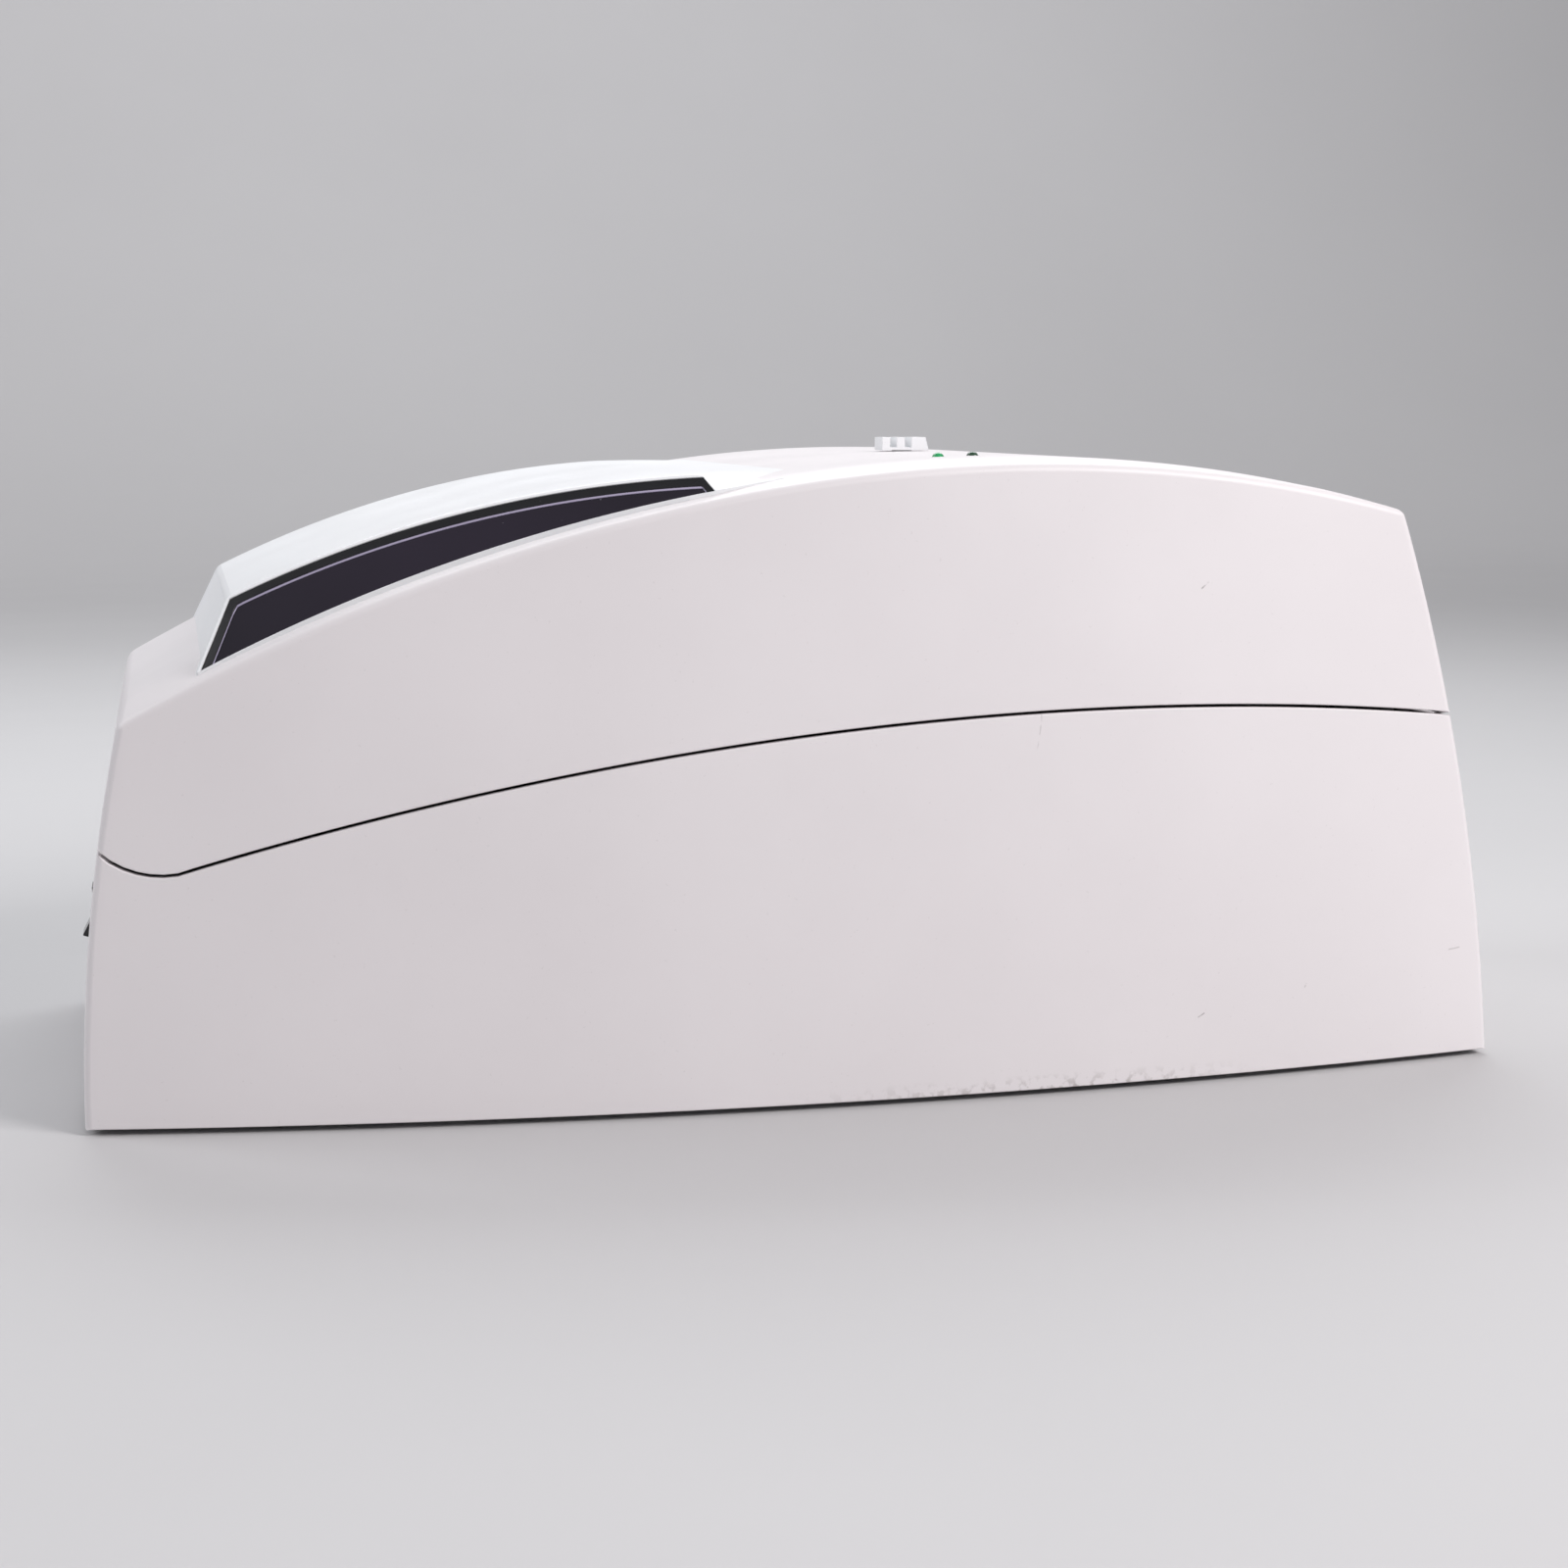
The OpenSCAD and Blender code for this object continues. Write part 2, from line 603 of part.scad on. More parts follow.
module keeper_screws() color("#777b80")
    for (y = keeper_holes) translate([front_x(90) - wall - 2.9, y, 90]) rotate([0, 90, 0]) {
        translate([0, 0, -1.6]) cylinder(r = 2.8, h = 1.6, $fn = fn);
        translate([0, 0, -eps]) cylinder(r = 1.25, h = 2.6, $fn = fn);
    }

// Two posts on the deck that carry the front of the shut cover
stop_x = 194;
stop_y = 68;
stop_r = 6;
bumper_z = 118;
module cover_stops() color("#c9c5c8") both_sides() translate([stop_x, stop_y, bed_z])
    cylinder(r = stop_r, h = bumper_z - 0.3 - bed_z, $fn = fn);

// ---------- cover ----------

module upper_housing() color(shell_white) difference() {
    union() {
        difference() {
            envelope(0);
            envelope(wall);
        }
        intersection() {
            envelope(wall / 2);
            for (p = led_board_posts) translate([p[0], p[1], led_board_z + board_t])
                cylinder(r = 3, h = 30, $fn = fn);
        }
    }
    along_y(body_w + 4) below_seam(seam_gap / 2);
    intersection() {
        along_y(body_w) hood_profile(-20, 0);
        between_sills(0);
    }
    translate([grip_x - stem_l / 2 - 0.4, -stem_w / 2 - 0.4, 180])
        cube([stem_l + lock_travel + 0.8, stem_w + 0.8, 40]);
    for (x = led_xs) translate([x, led_y, 180]) cylinder(r = led_r + 0.1, h = 40, $fn = fn);
    for (p = led_board_posts) translate([p[0], p[1], led_board_z]) cylinder(r = 1, h = 8, $fn = fn);
}

// Hood outline in side view: under the arch, over the seat and in front of the leaning rear face
module hood_profile(top_t, end_t, seat_t = 0) difference() {
    intersection() {
        translate([hood_arc[0], hood_arc[1]]) circle(r = hood_arc[2] - top_t, $fn = big_fn);
        translate(hood_foot) rotate(-hood_lean) translate([end_t, -60]) square([220, 260]);
        translate([-half_l, 100]) square([half_l + hood_end_x, 150]);
    }
    translate([seat_arc[0], seat_arc[1]]) circle(r = seat_arc[2] - seat_t, $fn = big_fn);
}

// Space between upright planes that stand t inside the sills and follow them in plan
module between_sills(t) intersection() {
    inboard(t);
    mirror([0, 1, 0]) inboard(t);
}
module inboard(t) translate([pane_front[0], pane_front[1], 0]) rotate([0, 0, -pane_yaw])
    translate([-300, t, 60]) cube([500, 400, 200]);

// Everything behind the sloping face of the near panes, moved in by t
module behind_pane(t) translate([pane_front[0], pane_front[1], 0]) rotate([0, 0, -pane_yaw])
    translate([0, 0, pivot_z]) rotate([pane_a, 0, 0]) translate([-pane_front[0], 0, -pivot_z])
        along_y(700) intersection() {
            translate([pane_arc[0], pane_arc[1]]) circle(r = pane_arc[2] - t, $fn = big_fn);
            translate([-half_l, -100]) square([half_l + 40, 400]);
        }

// One pane's zone: between depths t1 and t2 behind the sloping face, above the sill
module pane_zone(top_t, end_t, t1, t2) difference() {
    intersection() {
        along_y(half_w, -half_w / 2) difference() {
            intersection() {
                hood_profile(top_t, end_t);
                translate([-half_l, 100]) square([half_l + pane_end_x + 1 - end_t, 150]);
            }
            translate([sill_arc[0], sill_arc[1]]) circle(r = sill_arc[2], $fn = big_fn);
        }
        behind_pane(t1);
    }
    behind_pane(t2);
}

edge_t = 0.8;                        // white edge left over the bezel
module hood() color("#eceef0") difference() {
    intersection() {
        along_y(body_w) hood_profile(0, 0);
        behind_pane(0);
        mirror([0, 1, 0]) behind_pane(0);
        between_sills(0);
    }
    intersection() {
        along_y(body_w) hood_profile(hood_t, hood_t, 5);
        behind_pane(pane_t);
        mirror([0, 1, 0]) behind_pane(pane_t);
        between_sills(pane_t);
        translate([-half_l, -half_w, 0]) cube([half_l + pane_end_x - 1, body_w, 250]);
    }
    both_sides() pane_zone(edge_t, edge_t, -5, pane_t);
}

module window_bezels() color(near_black) both_sides() difference() {
    pane_zone(edge_t, edge_t, 0, pane_t);
    pane_zone(edge_t + bezel_top, edge_t + bezel_end, -5, pane_t + 5);
}

module window_panes() color("#2a2233") both_sides()
    pane_zone(edge_t + bezel_top, edge_t + bezel_end, 0.9, 2.6);

// Arms inside the cover that turn on the hinge pins
arm_y = hinge_y + bracket_t + 0.5;
module hinge_arm() difference() {
    intersection() {
        envelope(wall);
        union() {
            translate([hinge_x, arm_y, hinge_z]) rotate([90, 0, 0])
                cylinder(r = 7, h = bracket_t, center = true, $fn = fn);
            translate([hinge_x - 7, arm_y - bracket_t / 2, hinge_z]) cube([13, bracket_t, 60]);
        }
    }
    translate([hinge_x, arm_y, hinge_z]) rotate([90, 0, 0])
        cylinder(r = hinge_pin_r + 0.05, h = 30, center = true, $fn = fn);
}
module hinge_arms() color("#d5d1d3") both_sides() hinge_arm();

module led(x, tint) color(tint) translate([x, led_y, 0]) {
    rim_z = crown_z(x) - 0.7;
    foot_z = led_board_z + board_t;
    translate([0, 0, foot_z]) cylinder(r = led_r, h = rim_z - foot_z, $fn = fn);
    translate([0, 0, rim_z - eps]) intersection() {
        sphere(r = led_r, $fn = fn);
        translate([-5, -5, 0]) cube(10);
    }
}
module power_led() led(led_xs[0], "#1f8a4c");
module scan_led() led(led_xs[1], "#2f6e4a");

led_board_posts = [for (x = [-13, 17]) led_board_c + [x, 2]];
module led_board() color(board_green) difference() {
    translate([led_board_c[0] - 18, led_board_c[1] - 11, led_board_z]) cube([40, 22, board_t]);
    for (p = led_board_posts) translate([p[0], p[1], 150]) cylinder(r = 1.2, h = 60, $fn = fn);
}

module led_board_screws() color(steel)
    for (p = led_board_posts) translate([p[0], p[1], led_board_z]) {
        translate([0, 0, -1.5]) cylinder(r = 2.2, h = 1.5, $fn = fn);
        translate([0, 0, -eps]) cylinder(r = 1, h = 7, $fn = fn);
    }

lamp_x = [66, 156];
lamp_y = 55;
lamp_z = 172;
module lamp_housings() color("#b9bdc0") both_sides() intersection() {
    envelope(wall);
    difference() {
        translate([lamp_x[0], lamp_y - 8, lamp_z]) cube([lamp_x[1] - lamp_x[0], 16, 60]);
        translate([lamp_x[0] + 2, lamp_y - 6, lamp_z - 1]) cube([lamp_x[1] - lamp_x[0] - 4, 12, 5]);
    }
}

module lamp_diffusers() color("#f3f1e6") both_sides()
    translate([lamp_x[0] + 2, lamp_y - 6, lamp_z]) cube([lamp_x[1] - lamp_x[0] - 4, 12, 3]);

guide_xs = [74, 146];
module bar_guides() color("#d5d1d3") for (x = guide_xs) intersection() {
    envelope(wall);
    difference() {
        translate([x - 4, -bar_w / 2 - 4, bar_z - 3]) cube([8, bar_w + 8, 60]);
        translate([x - 5, -bar_w / 2 - 0.3, bar_z - 0.3]) cube([10, bar_w + 0.6, bar_t + 0.6]);
    }
}

// Rubber pads on the cover's inner front wall, just over the stops on the deck when it is shut
module cover_bumpers() color(near_black) both_sides() intersection() {
    envelope(wall);
    translate([stop_x - stop_r, stop_y - 8, bumper_z]) cube([22, 16, 6]);
}

// ---------- lock ----------

grip_z = crown_z(crown_peak_x) + grip_gap;
groove_z = grip_z + grip_h - rib_d;
rib_gap = rib_pitch - rib_t;
end_rib_extra = 0.6;                 // the front end of the grip is thicker than a rib
module lock_grip() color("#dcd8da") translate([grip_x, 0, 0]) {
    difference() {
        translate([-grip_l / 2, -grip_w / 2, grip_z]) cube([grip_l, grip_w, grip_h]);
        for (i = [0 : rib_n - 1]) translate([rib_t - grip_l / 2 + i * rib_pitch, -grip_w, groove_z])
            cube([i < rib_n - 1 ? rib_gap : rib_gap - end_rib_extra, 2 * grip_w, 10]);
        translate([grip_l / 2, 0, grip_z + grip_h]) rotate([0, -15, 0]) translate([0, -grip_w, -10])
            cube([10, 2 * grip_w, 20]);
    }
    translate([-stem_l / 2, -stem_w / 2, bar_z + bar_t])
        cube([stem_l, stem_w, grip_z - bar_z - bar_t + eps]);
}

module lock_bar() color(steel) {
    translate([grip_x - 8, -bar_w / 2, bar_z]) cube([leg_x + 4 - grip_x + 8, bar_w, bar_t]);
    translate([leg_x, -bar_w / 2, hook_z]) cube([4, bar_w, bar_z - hook_z + eps]);
    translate([leg_x + 4 - eps, -bar_w / 2, hook_z]) cube([hook_tip_x - leg_x - 4 + eps, bar_w, hook_t]);
}

lower_housing();
bottom_plate();
rubber_feet();
plate_screws();
bed_deck();
deck_screws();
platen_gasket();
platen_glass();
optics_tray();
tray_posts();
laser_module();
fold_mirrors();
collecting_mirror();
sensor_board();
scan_motor();
polygon_mirror();
main_board();
board_posts();
board_screws();
power_supply();
power_inlet();
data_socket();
speaker();
rocker_bezel();
rocker_pin();
power_rocker();
hinge_brackets();
bracket_screws();
hinge_pins();
lock_keeper();
keeper_screws();
cover_stops();
upper_housing();
hood();
window_bezels();
window_panes();
hinge_arms();
power_led();
scan_led();
led_board();
led_board_screws();
lamp_housings();
lamp_diffusers();
bar_guides();
cover_bumpers();
lock_grip();
lock_bar();
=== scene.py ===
"""Looks of the flatbed barcode scanner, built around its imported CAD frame."""
import json
import math

import bmesh
import bpy
from mathutils import Matrix, Vector


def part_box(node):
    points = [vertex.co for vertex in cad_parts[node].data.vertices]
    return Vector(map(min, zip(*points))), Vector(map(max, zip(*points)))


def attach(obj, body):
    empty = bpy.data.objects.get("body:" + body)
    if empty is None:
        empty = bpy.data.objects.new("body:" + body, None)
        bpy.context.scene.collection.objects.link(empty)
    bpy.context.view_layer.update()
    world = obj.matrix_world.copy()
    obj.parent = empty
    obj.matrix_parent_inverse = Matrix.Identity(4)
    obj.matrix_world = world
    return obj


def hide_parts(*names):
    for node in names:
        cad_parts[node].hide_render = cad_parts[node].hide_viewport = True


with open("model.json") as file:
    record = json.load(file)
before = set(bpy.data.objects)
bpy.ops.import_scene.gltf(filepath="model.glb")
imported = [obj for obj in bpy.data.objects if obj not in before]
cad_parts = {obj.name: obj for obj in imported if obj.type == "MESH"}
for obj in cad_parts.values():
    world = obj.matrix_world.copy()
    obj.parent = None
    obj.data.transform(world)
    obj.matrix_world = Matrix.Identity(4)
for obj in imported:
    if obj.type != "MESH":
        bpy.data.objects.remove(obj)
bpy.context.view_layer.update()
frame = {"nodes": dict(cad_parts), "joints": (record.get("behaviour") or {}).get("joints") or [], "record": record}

# ---------- sizes, in millimetres, with +X to the opening end and +Z up ----------

MM = 0.001
shell_low, shell_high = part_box("lower_housing")
HALF_L = shell_high.x / MM
HALF_W = shell_high.y / MM
Z0 = shell_low.z / MM
JOINTS = {j["name"]: j for j in frame["joints"]}
HINGE_X, _, HINGE_Z = [v / MM for v in JOINTS["cover_hinge"]["pos_m"]]

SIDE_BULGE = 19.6
SIDE_R = (HALF_L ** 2 + SIDE_BULGE ** 2) / (2 * SIDE_BULGE)
REAR_R, FRONT_R, FRONT_DROP = 550.0, 680.0, 53.4
FRONT_CX = HALF_L - math.sqrt(FRONT_R ** 2 - FRONT_DROP ** 2)
MEET_X, MEET_KINK = -40.0, -0.2
EDGE_PEAK = (57.0, Z0 + 193.0)
EDGE_R = (472.0, 540.0)
CROWN_PEAK = (54.6, Z0 + 195.8)
CROWN_R = (498.0, 575.0)
SHOULDER = math.radians(13)
SEAM_X, SEAM_R, DIP_R, SEAM_GAP = 95.0, 1010.0, 27.0, 1.0
SEAM_Z = Z0 + 118.7 - SEAM_R
WALL = 3.0
EDGE_ROUND = 2.2
SILL = 6.0

HOOD_FOOT = (-189.6, Z0 + 134.1)
HOOD_LEAN = math.tan(math.radians(21.5))
HOOD_END = -11.0
PANE_FRONT_X = -37.0
PANE_END_X = -38.0
PANE_YAW = math.radians(5)
WHITE_RIM = 0.9
BEZEL_TOP, BEZEL_REAR, BEZEL_FRONT = 2.3, 2.4, 2.4
PANE_DEPTH, PANE_T = 0.9, 1.7


def circle3(a, b, c):
    """Centre and radius of the circle through three points."""
    d = 2 * (a[0] * (b[1] - c[1]) + b[0] * (c[1] - a[1]) + c[0] * (a[1] - b[1]))
    aa, bb, cc = (p[0] ** 2 + p[1] ** 2 for p in (a, b, c))
    x = (aa * (b[1] - c[1]) + bb * (c[1] - a[1]) + cc * (a[1] - b[1])) / d
    y = (aa * (c[0] - b[0]) + bb * (a[0] - c[0]) + cc * (b[0] - a[0])) / d
    return x, y, math.hypot(a[0] - x, a[1] - y)


def over(circle, x):
    """Height of a circle's upper half at x."""
    return circle[1] + math.sqrt(max(circle[2] ** 2 - (x - circle[0]) ** 2, 0))


HOOD_ARC = circle3((-181.6, Z0 + 155), (-102.6, Z0 + 182.6), (-40.2, Z0 + 191))
SILL_ARC = circle3((-189.6, Z0 + 134.1), (-110, Z0 + 167.6), (-37, Z0 + 186.2))
FACE_ARC = circle3((-190, Z0 + 133.8), (-110, Z0 + 167.6), (-37, Z0 + 186.2))


def lerp(a, b, t):
    return a + (b - a) * t


def side_y(x):
    return HALF_W - SIDE_R + math.sqrt(SIDE_R ** 2 - x * x)


def rear_x(z):
    return REAR_R - HALF_L - math.sqrt(REAR_R ** 2 - (z - Z0) ** 2)


def front_x(z):
    return FRONT_CX + math.sqrt(FRONT_R ** 2 - (z - Z0 + FRONT_DROP) ** 2)


def arc_top(x, peak, radii, stretch=1.0):
    """Height of a top curve: a front arc, and a rear arc that meets it at MEET_X."""
    rf, rr = radii[0] * stretch, radii[1] * stretch
    cz = peak[1] - rf
    if x >= MEET_X:
        v = cz + math.sqrt(rf ** 2 - (x - peak[0]) ** 2)
    else:
        mz = cz + math.sqrt(rf ** 2 - (MEET_X - peak[0]) ** 2)
        turned = Matrix.Rotation(math.radians(MEET_KINK), 2) @ Vector((peak[0] - MEET_X, cz - mz))
        cx, cz = MEET_X + turned.x * rr / rf, mz + turned.y * rr / rf
        v = cz + math.sqrt(rr ** 2 - (x - cx) ** 2)
    return peak[1] + (v - peak[1]) * stretch


def crown_z(x):
    return arc_top(x, CROWN_PEAK, CROWN_R)


def edge_z(x):
    return arc_top(x, EDGE_PEAK, EDGE_R, 1 / math.cos(SHOULDER))


def top_z(x, y):
    return min(crown_z(x), edge_z(x) + (HALF_W - abs(y)) * math.tan(SHOULDER))


def crease_y(x):
    """Where the sloping shoulder meets the crown, kept inside the sill."""
    y = HALF_W - (crown_z(x) - edge_z(x)) / math.tan(SHOULDER)
    return min(y, side_y(x) - SILL - 1)


def seam_z(x, e):
    """The seam's line moved up by e: a long rise, and a round dip under the hinge."""
    dip_end = HINGE_X + (SEAM_X - HINGE_X) * DIP_R / (SEAM_R + DIP_R)
    if x > dip_end:
        return SEAM_Z + math.sqrt((SEAM_R + e) ** 2 - (x - SEAM_X) ** 2)
    return HINGE_Z - math.sqrt((DIP_R - e) ** 2 - (x - HINGE_X) ** 2)


# ---------- mesh tools ----------

def make_object(name, verts, faces, weights=None):
    """A mesh object from points in millimetres, with bevel weights on some edges."""
    mesh = bpy.data.meshes.new(name)
    mesh.from_pydata([Vector(v) * MM for v in verts], [], faces)
    obj = bpy.data.objects.new(name, mesh)
    bpy.context.scene.collection.objects.link(obj)
    if weights:
        bm = bmesh.new()
        bm.from_mesh(mesh)
        bm.verts.ensure_lookup_table()
        layer = bm.edges.layers.float.new("bevel_weight_edge")
        for edge in bm.edges:
            key = frozenset(v.index for v in edge.verts)
            edge[layer] = weights.get(key, 0.0)
        bm.to_mesh(mesh)
        bm.free()
    return obj


def add_modifier(obj, kind, **settings):
    mod = obj.modifiers.new(kind.lower(), kind)
    for key, value in settings.items():
        setattr(mod, key, value)
    return mod


def apply_all(obj, smooth_angle=35):
    """Turns the modifiers' result into the object's own mesh, shaded smooth up to an angle."""
    bpy.context.view_layer.update()
    graph = bpy.context.evaluated_depsgraph_get()
    mesh = bpy.data.meshes.new_from_object(obj.evaluated_get(graph))
    obj.modifiers.clear()
    old, obj.data = obj.data, mesh
    bpy.data.meshes.remove(old)
    mesh.name = obj.name
    mesh.polygons.foreach_set("use_smooth", [True] * len(mesh.polygons))
    mesh.set_sharp_from_angle(angle=math.radians(smooth_angle))
    add_modifier(obj, "WEIGHTED_NORMAL", keep_sharp=True, weight=50)
    return obj


def outward(verts, faces, centre):
    """The faces, each turned so that it looks away from a centre point."""
    out = []
    for face in faces:
        p = [Vector(verts[i]) for i in face]
        normal = (p[1] - p[0]).cross(p[2] - p[0]) + (p[2] - p[0]).cross(p[-1] - p[0])
        away = sum(p, Vector()) / len(p) - Vector(centre)
        out.append(face if normal.dot(away) > 0 else face[::-1])
    return out


def cage(counts, place, sides, centre, weight, skip=None):
    """Verts, faces and bevel weights of the named sides of a box of lattice points.

    place maps lattice indices (i, j, k) to a point; sides is any of rear, front, near, far, top.
    weight gives the bevel weight of the edge between two lattice points."""
    ni, nj, nk = counts
    index, verts, faces = {}, [], []

    def vertex(node):
        if node not in index:
            index[node] = len(verts)
            verts.append(place(*node))
        return index[node]

    def grid(na, nb, node_at, name):
        for a in range(na):
            for b in range(nb):
                corners = [node_at(a, b), node_at(a + 1, b), node_at(a + 1, b + 1), node_at(a, b + 1)]
                if not (skip and skip(name, a, b)):
                    faces.append([vertex(c) for c in corners])

    plans = {
        "rear": (nj, nk, lambda a, b: (0, a, b)),
        "front": (nj, nk, lambda a, b: (ni, a, b)),
        "near": (ni, nk, lambda a, b: (a, 0, b)),
        "far": (ni, nk, lambda a, b: (a, nj, b)),
        "top": (ni, nj, lambda a, b: (a, b, nk)),
    }
    for name in sides:
        grid(*plans[name], name)
    nodes = {i: node for node, i in index.items()}
    weights = {}
    for face in faces:
        for a, b in zip(face, face[1:] + face[:1]):
            w = weight(nodes[a], nodes[b])
            if w:
                weights[frozenset((a, b))] = w
    return verts, outward(verts, faces, centre), weights


def face_out(obj):
    """Turns a closed mesh's faces outward."""
    bm = bmesh.new()
    bm.from_mesh(obj.data)
    bmesh.ops.recalc_face_normals(bm, faces=bm.faces)
    bm.to_mesh(obj.data)
    bm.free()
    return obj


def box_cutter(low, high):
    """A hidden box for a boolean cut, corners in millimetres."""
    verts = [(x, y, z) for x in (low[0], high[0]) for y in (low[1], high[1]) for z in (low[2], high[2])]
    faces = [(0, 1, 3, 2), (4, 6, 7, 5), (0, 4, 5, 1), (2, 3, 7, 6), (0, 2, 6, 4), (1, 5, 7, 3)]
    return face_out(make_object("cutter", verts, faces))


def disc_cutter(x, y, r, low, high, n=48):
    ring = [(x + r * math.cos(math.tau * i / n), y + r * math.sin(math.tau * i / n)) for i in range(n)]
    verts = [(a, b, low) for a, b in ring] + [(a, b, high) for a, b in ring]
    faces = [tuple(reversed(range(n))), tuple(range(n, 2 * n))]
    faces += [(i, (i + 1) % n, n + (i + 1) % n, n + i) for i in range(n)]
    return face_out(make_object("cutter", verts, faces))


def cut(obj, cutters):
    for cutter in cutters:
        add_modifier(obj, "BOOLEAN", operation="DIFFERENCE", solver="EXACT", object=cutter)
    return cutters


def discard(objects):
    for obj in objects:
        mesh = obj.data
        bpy.data.objects.remove(obj)
        bpy.data.meshes.remove(mesh)


# ---------- the two shells ----------

HALF_ACROSS = [0.1, 0.2, 0.35, 0.5, 0.7, 0.8, 0.9, 0.95, 1]
ACROSS = [-t for t in reversed(HALF_ACROSS)] + [0] + HALF_ACROSS
SILL_AT, CREASE_AT = 0.9, 0.7
STATIONS = 110
CUT_REACH, CUT_GAP = 9.0, 0.05  # the rear openings' cutters reach past the wall and clear the fittings


def lateral(t, x):
    """Y of a column: straight over the crown, then to the crease, the sill's line and the side."""
    a = abs(t)
    stops = [(0, 0), (CREASE_AT, crease_y(x)), (SILL_AT, side_y(x) - SILL), (1, side_y(x))]
    for (a0, y0), (a1, y1) in zip(stops, stops[1:]):
        if a <= a1:
            return math.copysign(lerp(y0, y1, (a - a0) / (a1 - a0)), t)


def settle(s, t, f, low, high):
    """The point at a share s of the length, t across and f of the height, on the curved ends."""
    x, z = 0.0, 100.0
    for _ in range(30):
        x = lerp(rear_x(z), front_x(z), s)
        y = lateral(t, x)
        z = lerp(low(x, y), high(x, y), f)
    return x, y, z


def shell_weight(counts, open_k):
    ni, nj, nk = counts

    def weight(a, b):
        ends = a[0] == b[0] and a[0] in (0, ni)
        sides = a[1] == b[1] and a[1] in (0, nj)
        top = a[2] == b[2] == nk
        if ends and sides:
            return 1.0
        if a[2] == b[2] and a[2] in open_k and (ends or sides):
            return 0.22
        if top and nk not in open_k and (ends or sides):
            return 1.0
        return 0.0
    return weight


def shell(name, rows, low, high, sides, open_k, cutters, skip=None):
    counts = (STATIONS, len(ACROSS) - 1, rows)

    def place(i, j, k):
        return settle(i / STATIONS, ACROSS[j], k / rows, low, high)

    verts, faces, weights = cage(
        counts, place, sides, (0, 0, 90), shell_weight(counts, open_k), skip)
    obj = make_object(name, verts, faces, weights)
    add_modifier(obj, "SOLIDIFY", thickness=WALL * MM, offset=-1, use_even_offset=True,
                 use_quality_normals=True)
    cut(obj, cutters)
    add_modifier(obj, "BEVEL", width=EDGE_ROUND * MM, segments=5, limit_method="WEIGHT",
                 use_clamp_overlap=False, miter_outer="MITER_ARC")
    apply_all(obj)
    discard(cutters)
    return obj


def make_lower():
    cutters = []
    for node in ("rocker_bezel", "power_inlet", "data_socket"):
        low, high = (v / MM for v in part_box(node))
        cutters.append(box_cutter((low.x - CUT_REACH, low.y - CUT_GAP, low.z - CUT_GAP),
                                  (low.x + CUT_REACH, high.y + CUT_GAP, high.z + CUT_GAP)))
    return shell("lower_shell", 12, lambda x, y: Z0, lambda x, y: seam_z(x, -SEAM_GAP / 2),
                 ("rear", "front", "near", "far"), (0, 12), cutters)


def hood_opening(name, a, b):
    """Top faces left out of the cover, under the hood."""
    if name != "top":
        return False
    inside = abs(ACROSS[b] + ACROSS[b + 1]) / 2 < SILL_AT
    x = settle((a + 0.5) / STATIONS, 0, 1, lambda x, y: 100, top_z)[0]
    return inside and HOOD_FOOT[0] + 9 < x < -44


def make_cover():
    cutters = []
    for node in ("power_led", "scan_led"):
        low, high = (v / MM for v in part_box(node))
        cutters.append(disc_cutter((low.x + high.x) / 2, (low.y + high.y) / 2,
                                   (high.x - low.x) / 2 + 0.15, high.z - 12, high.z + 4))
    grip = (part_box("lock_grip")[0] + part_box("lock_grip")[1]) / 2 / MM
    travel = JOINTS["lock_slide"]["range_m"][1] / MM
    cutters.append(box_cutter((grip.x - 3.4, -2.4, 170), (grip.x + 3.4 + travel, 2.4, 220)))
    return shell("cover_shell", 10, lambda x, y: seam_z(x, SEAM_GAP / 2), top_z,
                 ("rear", "front", "near", "far", "top"), (0,), cutters, hood_opening)


# ---------- the hood and its windows ----------

FACE_FRONT_Y = -side_y(PANE_FRONT_X) + SILL


def face_point(x, z, depth=0.0):
    """A point on the near sloping face above x along the face, at height z, and depth behind it."""
    def on_face(u, v):
        back = v - over(FACE_ARC, u)
        run = u - PANE_FRONT_X
        return Vector((PANE_FRONT_X + run * math.cos(PANE_YAW) + back * math.sin(PANE_YAW),
                       FACE_FRONT_Y - run * math.sin(PANE_YAW) + back * math.cos(PANE_YAW), v))
    p = on_face(x, z)
    along, up = on_face(x + 0.5, z) - p, on_face(x, z + 0.5) - p
    inward = up.cross(along).normalized()
    if inward.y < 0:
        inward = -inward
    return p + inward * depth


def hood_top(x):
    """The hood's arch, which runs softly out on the crown in front."""
    arch, crown, blend = over(HOOD_ARC, x), crown_z(x) - 0.25, 1.6
    gap = max(blend - abs(arch - crown), 0) / blend
    return max(arch, crown) + gap * gap * blend / 4


def hood_rear_x(z):
    return HOOD_FOOT[0] + (z - HOOD_FOOT[1]) * HOOD_LEAN


def window_front_x(z):
    """The slanting front end of the window."""
    return PANE_END_X - (z - over(SILL_ARC, PANE_END_X)) * 0.75


def window_point(p, q, rear, front, top):
    """(x, z) at a share p along and q up the window, with its rear, front and top edges moved in."""
    x, z = -100.0, 170.0
    for _ in range(30):
        x = lerp(hood_rear_x(z) + rear, window_front_x(z) - front, p)
        z = lerp(over(SILL_ARC, x), hood_top(x) - top, q)
    return x, z


HOOD_STATIONS = 96
WINDOW_FIRST, WINDOW_LAST = 1, 82
HOOD_ROWS = 5
RUN_OUT = 30.0                  # how far the hood's flank leans in where it dies into the crown
HOOD_ACROSS = 16


